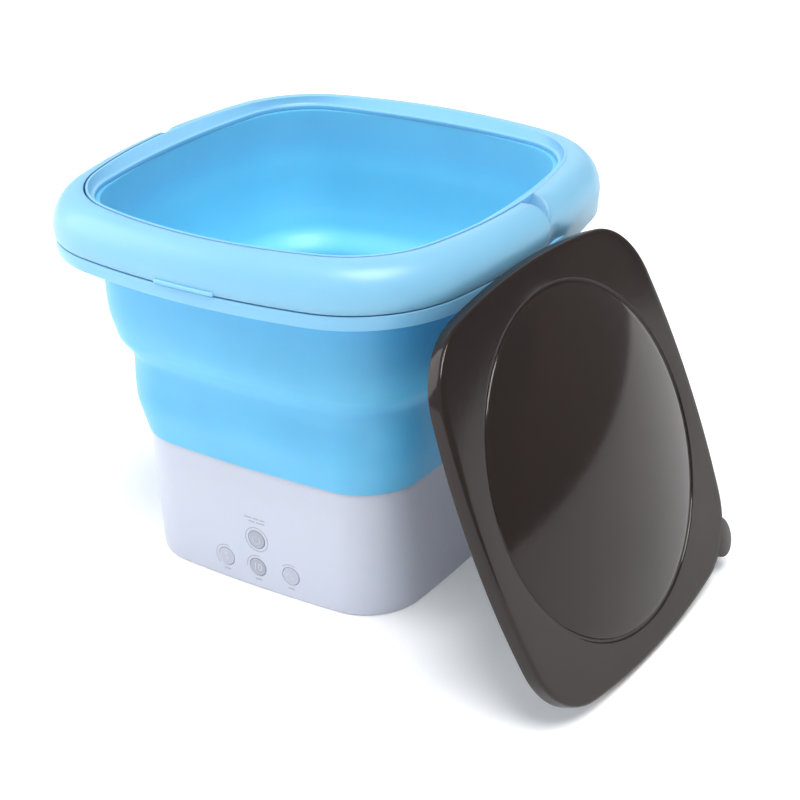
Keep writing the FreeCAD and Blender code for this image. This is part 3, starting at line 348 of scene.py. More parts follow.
def turned(bm, profile, place, axis, steps=48):
    """A solid of revolution: a profile of (radius, along) spun about an axis through a place."""
    axis = Vector(axis)
    outward = axis.orthogonal().normalized()
    spots = [Vector(place) + outward * radius + axis * along for radius, along in profile]
    verts = [bm.verts.new(spot) for spot in spots]
    edges = [bm.edges.new(pair) for pair in zip(verts, verts[1:])]
    bmesh.ops.spin(
        bm, geom=verts + edges, cent=place, axis=axis, angle=2 * math.pi, steps=steps, use_merge=True
    )
    bmesh.ops.remove_doubles(bm, verts=bm.verts, dist=1e-4)


def pin_profile(radius, length):
    """The profile of a plain pin for a hole."""
    return [(0.0, 0.0), (radius, 0.0), (radius, length), (0.0, length)]


# ---------------------------------------------------------------- materials
def add(tree, kind, settings=None, links=None, **attributes):
    """Adds a node with its attributes, its socket values and its incoming links."""
    node = tree.nodes.new(kind)
    for name, value in attributes.items():
        setattr(node, name, value)
    for name, value in (settings or {}).items():
        node.inputs[name].default_value = value
    for name, source in (links or {}).items():
        tree.links.new(source, node.inputs[name])
    return node


def blank_material(name):
    material = bpy.data.materials.new(name)
    material.use_nodes = True
    material.node_tree.nodes.clear()
    tree = material.node_tree
    place = add(tree, "ShaderNodeTexCoord").outputs["Object"]
    return material, tree, place


def coated(material, tree, settings, colour, gloss, bump):
    """The shader that ends a material, fed by its colour, gloss and bump nodes."""
    shader = add(
        tree,
        "ShaderNodeBsdfPrincipled",
        settings,
        {
            "Base Color": colour.outputs[2],
            "Roughness": gloss.outputs["Result"],
            "Normal": bump.outputs["Normal"],
        },
    )
    add(tree, "ShaderNodeOutputMaterial", links={"Surface": shader.outputs["BSDF"]})
    return material


def moulded(name, deep, pale, patch, roughness, grain, depth, settings):
    """A moulded plastic or rubber. deep and pale are its colour where the wall is thick and thin,
    patch is the size of that change, grain the size of the mould's texture and depth its height,
    all in millimetres. settings are the shader's own values."""
    material, tree, place = blank_material(name)
    flow = add(
        tree,
        "ShaderNodeTexNoise",
        {"Scale": 1 / (patch * MM), "Detail": 3.0, "Roughness": 0.45},
        {"Vector": place},
    )
    colour = add(tree, "ShaderNodeMix", links={"Factor": flow.outputs["Fac"]}, data_type="RGBA")
    colour.inputs[6].default_value = deep
    colour.inputs[7].default_value = pale
    texture = add(
        tree,
        "ShaderNodeTexNoise",
        {"Scale": 1 / (grain * MM), "Detail": 4.0, "Roughness": 0.6},
        {"Vector": place},
    )
    gloss = add(
        tree,
        "ShaderNodeMapRange",
        {"From Min": 0.3, "From Max": 0.7, "To Min": roughness * 0.85, "To Max": roughness * 1.15},
        {"Value": texture.outputs["Fac"]},
    )
    bump = add(
        tree,
        "ShaderNodeBump",
        {"Strength": 0.5, "Distance": depth * MM},
        {"Height": texture.outputs["Fac"]},
    )
    return coated(material, tree, settings, colour, gloss, bump)


def shaded(colour, factor):
    """A linear colour made darker or lighter by a factor."""
    return tuple(min(channel * factor, 1.0) for channel in colour[:3]) + (1.0,)


def rim_polypropylene(looks):
    # Injection-moulded polypropylene: a satin skin with a soft glow where light enters the wall.
    return moulded(
        "moulded_polypropylene_satin",
        shaded(looks.rim_colour, 0.95),
        shaded(looks.rim_colour, 1.04),
        patch=55.0,
        roughness=0.36,
        grain=0.9,
        depth=0.012,
        settings={
            "IOR": 1.49, "Subsurface Weight": 0.25, "Subsurface Scale": 0.006,
            "Subsurface Radius": (0.5, 0.8, 1.0), "Coat Weight": 0.08, "Coat Roughness": 0.25,
        },
    )


def tub_rubber(looks):
    # Moulded thermoplastic rubber: deeper in colour, softer highlights and a slight drag in the gloss.
    return moulded(
        "moulded_thermoplastic_rubber",
        shaded(looks.tub_colour, 0.92),
        shaded(looks.tub_colour, 1.05),
        patch=38.0,
        roughness=0.42,
        grain=1.4,
        depth=0.02,
        settings={
            "IOR": 1.50, "Subsurface Weight": 0.3, "Subsurface Scale": 0.008,
            "Subsurface Radius": (0.35, 0.8, 1.0), "Sheen Weight": 0.08, "Sheen Roughness": 0.4,
        },
    )


def tub_rubber_painted_lighter_inside(looks):
    # The same rubber on the drum side, painted paler: a lit copy that stands in for the light the thin wall
    # lets through.
    return moulded(
        "moulded_thermoplastic_rubber_painted_lighter",
        shaded(looks.tub_inside_painted_lighter, 0.95),
        shaded(looks.tub_inside_painted_lighter, 1.05),
        patch=38.0,
        roughness=0.42,
        grain=1.4,
        depth=0.02,
        settings={
            "IOR": 1.50, "Subsurface Weight": 0.3, "Subsurface Scale": 0.008,
            "Subsurface Radius": (0.5, 0.85, 1.0), "Sheen Weight": 0.05, "Sheen Roughness": 0.4,
        },
    )


def base_abs(looks):
    # Moulded ABS with a fine spark texture: a cool white with an even satin gloss.
    return moulded(
        "moulded_abs_cool_white",
        shaded(looks.base_colour, 0.97),
        shaded(looks.base_colour, 1.02),
        patch=70.0,
        roughness=0.34,
        grain=0.6,
        depth=0.010,
        settings={
            "IOR": 1.54, "Subsurface Weight": 0.08, "Subsurface Scale": 0.003, "Coat Weight": 0.06,
        },
    )


def smoked_polycarbonate(looks):
    # Polished smoked polycarbonate: dark and glossy, a little light passes and warms its brown.
    return moulded(
        "polished_smoked_polycarbonate",
        shaded(looks.lid_colour, 0.9),
        shaded(looks.lid_colour, 1.1),
        patch=90.0,
        roughness=0.10,
        grain=6.0,
        depth=0.012,
        settings={
            "IOR": 1.585, "Transmission Weight": 0.35, "Specular IOR Level": 0.2, "Coat Roughness": 0.04,
        },
    )


# For each record slot: name, deep and pale colour, patch, roughness, grain, depth and settings.
PLASTICS = (
    # natural polypropylene, moulded: milky white under the pulsator
    ("floor_pp", "moulded_polypropylene_white", "D9E2EA", "EDF2F6", 30.0, 0.4, 0.8, 0.01,
     {"IOR": 1.49, "Subsurface Weight": 0.15, "Subsurface Scale": 0.004}),
    # glossy moulded polypropylene that the laundry rubs against
    ("pulsator_pp", "moulded_polypropylene_gloss", "7CC8EF", "93D6F8", 24.0, 0.3, 0.8, 0.01,
     {"IOR": 1.49, "Subsurface Weight": 0.15, "Subsurface Scale": 0.004}),
    # silver-grey ABS with a clear lacquer
    ("key_grey", "printed_abs_silver_grey", "B4B8C4", "BFC2CD", 5.0, 0.3, 0.35, 0.006,
     {"IOR": 1.54, "Coat Weight": 0.2}),
    # moulded nitrile rubber: nearly black, matt, dusty where it grips
    ("foot_rubber", "moulded_nitrile_rubber", "1E1F21", "2C2D30", 4.0, 0.75, 0.5, 0.04,
     {"IOR": 1.52, "Sheen Weight": 0.1}),
    # oiled sealing rubber: black with a dull shine
    ("seal_rubber", "lip_seal_rubber", "17181A", "222326", 3.0, 0.5, 0.4, 0.02, {"IOR": 1.52}),
    # moulded acetal gears: waxy off-white
    ("gear_acetal", "moulded_acetal_natural", "E6E2D6", "F2EFE6", 12.0, 0.32, 0.5, 0.01,
     {"IOR": 1.48, "Subsurface Weight": 0.2, "Subsurface Scale": 0.002}),
    # epoxy moulding compound: black, fine-grained and half matt
    ("component_black", "moulded_epoxy_black", "141518", "212227", 3.0, 0.45, 0.3, 0.02,
     {"IOR": 1.55}),
    # moulded nylon: black with a satin skin
    ("inlet_black", "moulded_nylon_black", "101113", "1C1D20", 4.0, 0.38, 0.4, 0.015, {"IOR": 1.53}),
    # turned polypropylene pins: the rim's blue, a little duller
    ("pin_pp", "turned_polypropylene_blue", "79C6EF", "8ED3F6", 6.0, 0.4, 0.5, 0.015, {"IOR": 1.49}),
)
# For each record slot: name, dull and bright colour, streak width and roughness.
METALS = (
    # zinc-plated steel screws and plate: cool grey, faintly streaked
    ("steel_zinc", "zinc_plated_steel", "A9ADB2", "CDD0D3", 0.4, 0.32),
    # ground steel shafting: brighter, with finer lines
    ("steel_shaft", "ground_steel_shaft", "9FA3A8", "C6C9CC", 0.25, 0.2),
    # sintered bronze bushes: warm and slightly open-grained
    ("bronze_bush", "sintered_bronze", "9A6B35", "C39050", 0.5, 0.42),
    # drawn steel motor can: grey, with drawing lines along it
    ("motor_can", "drawn_steel_can", "8E9297", "B5B8BC", 0.5, 0.36),
)


# how many times longer than wide a streak in metal is
STREAK_LENGTH = 40


def plain_plastics():
    """The plastics and rubbers of the inner pieces, by record slot."""
    return {
        slot: moulded(name, linear(deep), linear(pale), *sizes, settings)
        for slot, name, deep, pale, *sizes, settings in PLASTICS
    }


def metal(name, dull, bright, streak, roughness):
    """A machined or drawn metal: fine streaks of a real pitch run up the piece."""
    material, tree, place = blank_material(name)
    pitch = 1 / (streak * MM)
    stretch = (pitch, pitch, pitch / STREAK_LENGTH)
    mapping = add(tree, "ShaderNodeMapping", {"Scale": stretch}, {"Vector": place})
    lines = add(
        tree, "ShaderNodeTexNoise", {"Scale": 1.0, "Detail": 5.0, "Roughness": 0.7},
        {"Vector": mapping.outputs["Vector"]},
    )
    colour = add(tree, "ShaderNodeMix", links={"Factor": lines.outputs["Fac"]}, data_type="RGBA")
    colour.inputs[6].default_value = dull
    colour.inputs[7].default_value = bright
    gloss = add(
        tree, "ShaderNodeMapRange", {"To Min": roughness * 0.8, "To Max": roughness * 1.3},
        {"Value": lines.outputs["Fac"]},
    )
    bump = add(
        tree, "ShaderNodeBump", {"Strength": 0.3, "Distance": 0.01 * MM}, {"Height": lines.outputs["Fac"]}
    )
    return coated(material, tree, {"Metallic": 1.0}, colour, gloss, bump)


def plain_metals():
    """The metals of the inner pieces, by record slot."""
    return {
        slot: metal(name, linear(dull), linear(bright), streak, roughness)
        for slot, name, dull, bright, streak, roughness in METALS
    }


def circuit_laminate():
    # Glass-epoxy laminate under solder mask: green, with the slight relief of its copper tracks.
    material, tree, place = blank_material("glass_epoxy_solder_mask")
    tracks = add(
        tree, "ShaderNodeTexBrick",
        {"Scale": 1 / (6 * MM), "Mortar Size": 0.04, "Color1": linear("1C5A38"), "Color2": linear("1F6340"),
         "Mortar": linear("3E8A58")},
        {"Vector": place},
    )
    bump = add(
        tree, "ShaderNodeBump", {"Strength": 0.4, "Distance": 0.05 * MM}, {"Height": tracks.outputs["Fac"]}
    )
    shader = add(
        tree, "ShaderNodeBsdfPrincipled", {"Roughness": 0.28, "IOR": 1.55, "Coat Weight": 0.3},
        {"Base Color": tracks.outputs["Color"], "Normal": bump.outputs["Normal"]},
    )
    add(tree, "ShaderNodeOutputMaterial", links={"Surface": shader.outputs["BSDF"]})
    return material


# ---------------------------------------------------------------- base
def front_depth(across, level):
    """How far the bowed front face stands from the tub's axis."""
    half = BASE_LOW[0] + (BASE_HIGH[0] - BASE_LOW[0]) * level / BASE_TOP
    side = BASE_LOW[1]
    return half - side + math.sqrt(side**2 - across**2)


def make_base(looks):
    """The base shell: a moulded wall with a turned-in top, soft outer edges, key wells and inlet hole."""
    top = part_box("base_housing")[1].z / MM
    bm = bmesh.new()
    path = [
        (BASE_LOW, 0.0, 1.6),
        (BASE_HIGH, top, 1.4),
        (BASE_OPENING, top, 0.5),
        (BASE_OPENING, top - BASE_WALL, 0.5),
        (moved(BASE_HIGH, -BASE_WALL), top - BASE_WALL, 1.5),
        (moved(BASE_LOW, -BASE_WALL), 0.0, 0.5),
    ]
    loft(bm, softened(path))
    piece = finished("base_shell", bm, base_abs(looks))
    cutter = bmesh.new()
    for across, level in KEYS.values():
        front = -front_depth(across, level)
        place = Vector((across, front - KEY_WELL_DEPTH / 2, level))
        turned(cutter, pin_profile(KEY_WELL_RADIUS, KEY_WELL_DEPTH), place, (0, 1, 0))
    rear = Vector((0.0, front_depth(0.0, INLET_LEVEL) - INLET_HOLE_DEPTH / 2, INLET_LEVEL))
    turned(cutter, pin_profile(INLET_HOLE_RADIUS, INLET_HOLE_DEPTH), rear, (0, 1, 0))
    boolean(piece, loose_tool(cutter), "DIFFERENCE")
    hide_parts("base_housing")
    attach(piece, "base")


# ---------------------------------------------------------------- soft tub
def sleeve_row(level):
    """The sleeve's outline at a level: a smooth curve through its rows."""
    rows = SLEEVE_ROWS
    i = max(j for j in range(len(rows) - 1) if rows[j][0] <= level or j == 0)
    low, high = rows[i], rows[i + 1]
    before, after = rows[max(i - 1, 0)], rows[min(i + 2, len(rows) - 1)]
    span = high[0] - low[0]
    t = (level - low[0]) / span
    values = []
    for k in (1, 2, 3):
        start = (high[k] - before[k]) / max(high[0] - before[0], 1e-6) * span
        end = (after[k] - low[k]) / max(after[0] - low[0], 1e-6) * span
        values.append(
            (2 * t**3 - 3 * t**2 + 1) * low[k]
            + (t**3 - 2 * t**2 + t) * start
            + (-2 * t**3 + 3 * t**2) * high[k]
            + (t**3 - t**2) * end
        )
    return tuple(values)


def inner_row(level):
    """The sleeve's inner outline: straight up behind its top bead, and a firm shelf at the shoulder."""
    shelf = sum(size * math.exp(-(((level - place) / SHELF_SPREAD) ** 2)) for size, place in SHELF)
    return moved(sleeve_row(min(level, BEAD_LEVEL)), -(SLEEVE_WALL + shelf))


def bump_at(spot, centre, spread):
    """A soft hill of height 1 about a centre, with a spread each way."""
    return math.exp(-sum(((a - b) / c) ** 2 for a, b, c in zip(spot, centre, spread)))


# Where the soft wall sags or swells: centre, spread each way and depth inwards.
SLEEVE_DENTS = [
    ((-45.0, -105.0, 122.0), (34.0, 30.0, 9.0), 1.2),
    ((30.0, -105.0, 112.0), (30.0, 30.0, 10.0), -0.9),
    ((82.0, -84.0, 116.0), (22.0, 22.0, 12.0), 1.5),
    ((98.0, -40.0, 124.0), (26.0, 34.0, 9.0), 0.9),
    ((60.0, -100.0, 128.0), (30.0, 26.0, 7.0), 1.0),
    ((-98.0, 30.0, 118.0), (30.0, 36.0, 10.0), 1.0),
    ((20.0, 104.0, 116.0), (40.0, 30.0, 10.0), 1.1),
    ((0.0, -116.0, 150.0), (50.0, 30.0, 6.0), 0.5),
]


def make_tub(looks):
    """The soft sleeve in one piece from the base's gasket to under the rim, folded at its shoulder."""
    low, high = SLEEVE_ROWS[0][0], SLEEVE_ROWS[-1][0]
    count = int((high - low) / SLEEVE_STEP)
    levels = [low + (high - low) * i / count for i in range(count + 1)]
    outside = [(sleeve_row(level), level) for level in levels]
    inside = [(inner_row(level), level) for level in reversed(levels)]
    gasket = [
        (BASE_OPENING, low + SLEEVE_WALL),
        (BASE_OPENING, low),
        (BASE_HIGH, low),
    ]
    inside = [row for row in inside if row[1] > low + SLEEVE_WALL + 0.4]
    inside.append((inner_row(low + SLEEVE_WALL), low + SLEEVE_WALL))
    bm = bmesh.new()
    loft(bm, outside + inside + gasket)
    for vert in bm.verts:
        away = Vector((vert.co.x, vert.co.y, 0)).normalized()
        depth = sum(size * bump_at(vert.co, centre, spread) for centre, spread, size in SLEEVE_DENTS)
        vert.co -= away * depth
    piece = finished("tub_sleeve", bm, tub_rubber(looks))
    piece.data.materials.append(tub_rubber_painted_lighter_inside(looks))
    # faces that look towards the axis are the drum side and get the rubber painted paler for its light
    for face in piece.data.polygons:
        way = Vector((face.center.x, face.center.y, 0)).normalized()
        if face.normal.dot(way) < -0.1:
            face.material_index = 1
    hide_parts("lower_tub_wall", "shoulder_fold", "upper_tub_wall")
    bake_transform(piece)


# ---------------------------------------------------------------- rim and handle
def band_outline(level):
    """Outline of the rounded band: upright at first, then a quarter ellipse in to the lip."""
    if level <= DECK_LEVEL:
        share = (level - SKIRT_LEVEL) / (DECK_LEVEL - SKIRT_LEVEL)
        return mixed(moved(FLANGE_EDGE, -FLANGE_DRAFT), FLANGE_EDGE, share)
    if level <= BAND_LOW_LEVEL:
        return mixed(FLANGE_EDGE, BAND_EDGE, (level - DECK_LEVEL) / (BAND_LOW_LEVEL - DECK_LEVEL))
    rise = min((level - BAND_LOW_LEVEL) / (BAND_HIGH_LEVEL - BAND_LOW_LEVEL), 1.0)
    return mixed(BAND_TOP, BAND_EDGE, math.sqrt(1 - rise**2))


def round_end(level):
    """How far back the handle's rounded end reaches at a level."""
    return PIVOT_DEPTH + math.sqrt(max(HANDLE_END_RADIUS**2 - (level - PIVOT_LEVEL) ** 2, 0.0))


def band_end(level):
    """Where the fixed band starts: round about the pivot, then slanting back to clear the handle."""
    if level <= DECK_LEVEL:
        return PIVOT_DEPTH
    if level <= PIVOT_LEVEL:
        return PIVOT_DEPTH + math.sqrt(max(ROOM_RADIUS**2 - (level - PIVOT_LEVEL) ** 2, 0.0))
    return PIVOT_DEPTH + ROOM_RADIUS + (level - PIVOT_LEVEL) * ROOM_SLANT


def end_angle(outline, depth):
    """The angle on the right-hand side at which an outline stands at a depth."""
    angle = 0.0
    for _ in range(6):
        angle = math.asin(depth / reach(outline, angle))
    return angle


def edge_fall(distance, radius):
    """How far a rounded edge drops at a distance from it."""
    short = max(radius - distance, 0.0)
    return radius - math.sqrt(radius**2 - short**2)


# columns of the band: close together over each rounded end, in edge radii, then an even run
END_STEPS = (0.0, 0.15, 0.4, 0.75, 1.25, 2.2, 4.0)
BAND_RUN = 150


def band_skin(bm, levels, insets, rail, ends, turn, radius, scoop=0.0):
    """Half of the rim's band as a skin: up its outside, over the top, down its inner rail and
    closed at both ends. ends tells where a level stops, and turn is 1 for the rear and -1 for
    the front half. The grid is one row for each level outside and inside."""
    close = [step * radius for step in END_STEPS]
    columns = 2 * len(close) + BAND_RUN - 1
    rows = 2 * len(levels) - 1
    grid = bmesh.ops.create_grid(bm, x_segments=columns, y_segments=rows, size=1.0)["verts"]
    places = {}
    for vert in grid:
        i = round((vert.co.x + 1) / 2 * columns)
        j = round((vert.co.y + 1) / 2 * rows)
        places[i, j] = vert
        outer = j < len(levels)
        k = j if outer else rows - j
        level = levels[k]
        outline = moved(band_outline(level), -insets[k]) if outer else rail
        start = end_angle(outline, ends(level))
        span = math.pi - 2 * turn * start
        distance = reach(outline, start)
        if i < len(close):
            way, edge = close[i] / distance, close[i]
        elif columns - i < len(close):
            way, edge = span - close[columns - i] / distance, close[columns - i]
        else:
            share = (i - len(close) + 1) / (BAND_RUN + 1)
            way = close[-1] / distance + (span - 2 * close[-1] / distance) * share
            edge = radius
        spot = spot_on(outline, start + turn * way, level)
        if outer:
            away = Vector((spot.x, spot.y, 0)).normalized()
            side = (abs(spot.x), spot.y, spot.z)
            hollow = scoop * bump_at(side, SCOOP_PLACE, SCOOP_SPREAD)
            spot -= away * (edge_fall(edge, radius) + hollow)
        vert.co = spot
    for i in (0, columns):
        outside = [places[i, j] for j in range(len(levels))]
        inside = [places[i, j] for j in range(len(levels), rows + 1)]
        edges = [bm.edges.get(pair) for chain in (outside, inside) for pair in zip(chain, chain[1:])]
        bmesh.ops.bridge_loops(bm, edges=edges)


def add_wall(piece, thickness):
    """A live wall that grows inwards from a skin."""
    wall = piece.modifiers.new("wall", "SOLIDIFY")
    wall.thickness = thickness * MM
    wall.offset = -1.0
    # keeps the inner face from crossing itself where the skin is tightly rounded
    wall.thickness_clamp = 2.0


def band_levels(floor, softness):
    """Levels and insets up the band: a rounded lower edge, then even steps of angle."""
    levels = [floor + softness * share for share in (0.0, 0.12, 0.4, 0.85)]
    insets = [edge_fall(level - floor, softness) for level in levels]
    levels.append(max(BAND_LOW_LEVEL, floor + softness * 1.4))
    insets.append(0.0)
    for angle in range(6, 91, 6):
        rise = math.sin(math.radians(angle))
        levels.append(BAND_LOW_LEVEL + (BAND_HIGH_LEVEL - BAND_LOW_LEVEL) * rise)
        insets.append(0.0)
    return levels, insets


def make_rim(looks):
    """The fixed rim: lip with the lid's recess, flange, and the rear half of the band."""
    material = rim_polypropylene(looks)
    bm = bmesh.new()
    ledge_bottom = SLEEVE_ROWS[-1][0] + LEDGE_SEAT
    lip = [
        (LIP, DECK_LEVEL - RIM_WALL, 0.3),
        (LIP, LIP_LEVEL, 0.7),
        (moved(LIP, -1.5), LIP_LEVEL, 0.5),
        (moved(LEDGE, 1.6), LEDGE_LEVEL, 2.0),
        (LEDGE, LEDGE_LEVEL, 1.1),
        (LEDGE, ledge_bottom, 0.4),
        (moved(SLEEVE_TOP, 0.2), ledge_bottom, 0.2),
        (moved(SLEEVE_TOP, 0.2), DECK_LEVEL - RIM_WALL, 0.2),
    ]
    loft(bm, softened(lip))
    flange = [
        (moved(LIP, -0.5), DECK_LEVEL, 0.0),
        (FLANGE_EDGE, DECK_LEVEL, 0.9),
        (moved(FLANGE_EDGE, -FLANGE_DRAFT), SKIRT_LEVEL, 0.6),
        (moved(FLANGE_EDGE, -FLANGE_DRAFT - RIM_WALL), SKIRT_LEVEL, 0.6),
        (moved(FLANGE_EDGE, -RIM_WALL), DECK_LEVEL - RIM_WALL, 1.2),
        (moved(LIP, -0.5), DECK_LEVEL - RIM_WALL, 0.0),
    ]
    loft(bm, softened(flange))
    ring = finished("rim_lip_and_flange", bm, material, "rim")
    bm = bmesh.new()
    levels, insets = band_levels(SKIRT_LEVEL, 0.7)
    after_edge = 4
    levels.insert(after_edge, DECK_LEVEL)
    insets.insert(after_edge, 0.0)
    # the band laps a hair over the flange and the lip, so that they look like one moulding
    insets = [inset - LAP for inset in insets]
    insets[-1] = insets[-2] = 0.0
    rail = moved(LIP, -0.3)
    radius = looks.edge_radius / MM
    band_skin(bm, levels, insets, rail, band_end, 1, radius, scoop=SCOOP_DEPTH)
    band = finished("rim_rear_band", bm, material, "rim")
    add_wall(band, RIM_WALL)
    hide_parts("rim_ring")


def make_handle(looks):
    """The carrying handle: a hollow half band with bosses for its pins and a lift tab."""
    material = rim_polypropylene(looks)
    bm = bmesh.new()
    levels, insets = band_levels(HANDLE_FLOOR, 0.8)
    band_skin(bm, levels, insets, HANDLE_INNER, round_end, -1, looks.edge_radius / MM)
    bar = finished("handle_bar", bm, material, "handle")
    add_wall(bar, RIM_WALL)
    bm = bmesh.new()
    boss = [
        (PIN_HOLE_RADIUS, 0.0),
        (BOSS_RADIUS - 0.2, 0.0),
        (BOSS_RADIUS, 0.4),
        (BOSS_RADIUS, BOSS_LENGTH - 0.8),
        (BOSS_RADIUS - 0.8, BOSS_LENGTH),
        (PIN_HOLE_RADIUS, BOSS_LENGTH),
        (PIN_HOLE_RADIUS, 0.0),
    ]
    for side in (1, -1):
        place = Vector((side * BOSS_FACE, PIVOT_DEPTH, PIVOT_LEVEL))
        turned(bm, boss, place, (side, 0, 0), steps=64)
    finished("handle_bosses", bm, material, "handle")
    bm = bmesh.new()
    bmesh.ops.create_cube(bm, size=1.0)
    bmesh.ops.scale(bm, vec=TAB_BAR, verts=bm.verts)
    long_edges = [edge for edge in bm.edges if abs(edge.verts[0].co.x - edge.verts[1].co.x) > 1]
    bmesh.ops.subdivide_edges(bm, edges=long_edges, cuts=15)
    corners = [edge for edge in bm.edges if edge.calc_face_angle(0.0) > 1.0]
    bmesh.ops.bevel(
        bm,
        geom=corners,
        offset=TAB_BAR_EDGE,
        offset_type="OFFSET",
        segments=4,
        profile=0.5,
        affect="EDGES",
        clamp_overlap=True,
        material=-1,
    )
    bend = FLANGE_EDGE[1]
    aside, front, rise = TAB_BAR_PLACE
    for vert in bm.verts:
        across = vert.co.x + aside
        bow = bend - math.sqrt(bend**2 - across**2)
        vert.co = Vector((across, vert.co.y + front + bow, vert.co.z + HANDLE_FLOOR + rise))
    finished("handle_lift_tab", bm, material, "handle")
    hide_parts("handle")


# ---------------------------------------------------------------- lid
def lid_placement():
    """Turns the lid from lying face up to leaning beside the washer."""
    flat = math.cos(LID_TILT)
    face = Vector((flat * math.cos(LID_YAW), flat * math.sin(LID_YAW), math.sin(LID_TILT)))
    level = Vector((-math.sin(LID_YAW), math.cos(LID_YAW), 0))
    across = level * math.cos(LID_ROLL) + face.cross(level) * math.sin(LID_ROLL)
    upward = face.cross(across)
    return Matrix((across, upward, face)).transposed().to_4x4()


def make_lid(looks):
    """The smoked lid: crowned window, ring groove, flat border, rounded skirt and pull tab."""
    bend = (DOME_RADIUS**2 + DOME_RISE**2) / (2 * DOME_RISE)

    def circle(radius):
        return (radius, radius, radius)

    def crown(radius):
        return DOME_RISE - bend + math.sqrt(bend**2 - radius**2)

    rows = [(circle(radius), crown(radius)) for radius in CROWN_RADII]
    border = [
        (circle(DOME_RADIUS), 0.0, 0.25),
        (circle(DOME_RADIUS + 0.5), -GROOVE_DEPTH, 0.2),
        (circle(DOME_RADIUS + GROOVE_WIDTH - 0.5), -GROOVE_DEPTH, 0.2),
        (circle(DOME_RADIUS + GROOVE_WIDTH), 0.0, 0.3),
        (moved(LID_EDGE, -5.0), 0.0, 0.0),
        (LID_EDGE, 0.0, 2.6),
        (LID_EDGE, -LID_SKIRT, 0.6),
        (moved(LID_EDGE, -LID_WALL), -LID_SKIRT, 0.6),
        (moved(LID_EDGE, -LID_WALL), -LID_PLATE, 1.5),
        (circle(DOME_RADIUS + 1.2), -LID_PLATE, 0.0),
    ]
    rows += softened(border, steps=5)
    rows += [(circle(radius), crown(radius) - LID_PLATE) for radius in reversed(CROWN_RADII)]
    bm = bmesh.new()
    loft(bm, rows, closed=False)
    piece = finished("lid_shell", bm, smoked_polycarbonate(looks))
    tool = bmesh.new()
    corner = TAB_REACH * math.sqrt(0.5)
    # the tab's disc stops a hair below the border's face, so that the two join cleanly
    profile = [
        (0.0, -LID_PLATE),
        (TAB_RADIUS - 0.5, -LID_PLATE),
        (TAB_RADIUS, -LID_PLATE + 0.5),
        (TAB_RADIUS, -0.8),
        (TAB_RADIUS - 0.2, -0.25),
        (TAB_RADIUS - 0.8, -0.01),
        (0.0, -0.01),
    ]
    turned(tool, profile, Vector((corner, -corner, 0.0)), (0, 0, 1), steps=64)
    boolean(piece, loose_tool(tool), "UNION")
    turn = lid_placement()
    piece.data.transform(turn)
    lowest = min(vert.co.z for vert in piece.data.vertices)
    piece.data.transform(Matrix.Translation((LID_CENTRE[0] * MM, LID_CENTRE[1] * MM, -lowest)))
    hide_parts("lid")
    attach(piece, "lid")


# ---------------------------------------------------------------- keys and printed marks
PRINT_PROUD = 0.05
PRINT_ROOT = 0.15
DASH_WIDTH = 0.8
DASH_DROP = 9.0
# half section of a key cap and of the flange behind it: radius and depth behind its face
KEY_CAP = [(0.0, 0.0), (5.3, 0.0), (5.75, 0.08), (5.95, 0.3), (6.0, 0.7), (6.0, 4.4), (0.0, 4.4)]
KEY_FLANGE = [(0.0, 4.0), (7.0, 4.0), (7.3, 4.2), (7.3, 5.4), (0.0, 5.4)]
# painted shadow round a key's cap: a grey arc on its upper-left side only, where the edge of a recess round
# the key would be in shade; start and end angle of the arc
KEY_SHADE_ARCS = {"five_key": (70, 225), "ten_key": (75, 190), "mode_key": (65, 135)}
# two broken lines over the power key: level, start from its centre, lengths of the dashes
BROKEN_LINES = ((49.8, -8.0, (5.2, 4.4, 3.6)), (47.3, -5.0, (4.6, 6.2)))


def print_ink(name, colour):
    # Screen-printed ink: thin, matt and slightly broken at its edges.
    return moulded(
        name,
        shaded(colour, 0.94),
        shaded(colour, 1.05),
        patch=2.5,
        roughness=0.5,
        grain=0.25,
        depth=0.004,
        settings={"IOR": 1.5},
    )


def arc_band(bm, place, radius, width, start, end):
    """A flat arc of ink in the XZ plane about a place, angles in degrees from +X towards +Z."""
    first = math.radians(start)
    way = Vector((math.cos(first), 0, math.sin(first)))
    centre = Vector((place[0], 0, place[1]))
    verts = [bm.verts.new(centre + way * r) for r in (radius - width / 2, radius + width / 2)]
    edge = bm.edges.new(verts)
    steps = max(int((end - start) / 6), 4)
    bmesh.ops.spin(
        bm,
        geom=verts + [edge],
        cent=centre,
        axis=(0, -1, 0),
        angle=math.radians(end - start),
        steps=steps,
        use_merge=end - start >= 360,
    )


def stroke(bm, start, end, width):
    """A straight bar of ink in the XZ plane."""
    a, b = Vector((start[0], 0, start[1])), Vector((end[0], 0, end[1]))
    side = (b - a).normalized().cross(Vector((0, 1, 0))) * (width / 2)
    bm.faces.new([bm.verts.new(spot) for spot in (a - side, b - side, b + side, a + side)])


def inked(name, bm, depth_at, material, body):
    """Flat ink laid on a front face and given its thickness."""
    bmesh.ops.remove_doubles(bm, verts=bm.verts, dist=1e-4)
    made = bmesh.ops.extrude_face_region(bm, geom=list(bm.faces))["geom"]
    front = {item for item in made if isinstance(item, bmesh.types.BMVert)}
    for vert in bm.verts:
        proud = PRINT_PROUD if vert in front else -PRINT_ROOT
        vert.co.y = -(depth_at(vert.co.x, vert.co.z) + proud)
    return finished(name, bm, material, body)


def key_face(name):
    """How far a key's face stands in front of the tub's axis."""
    return -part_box(name)[0].y / MM


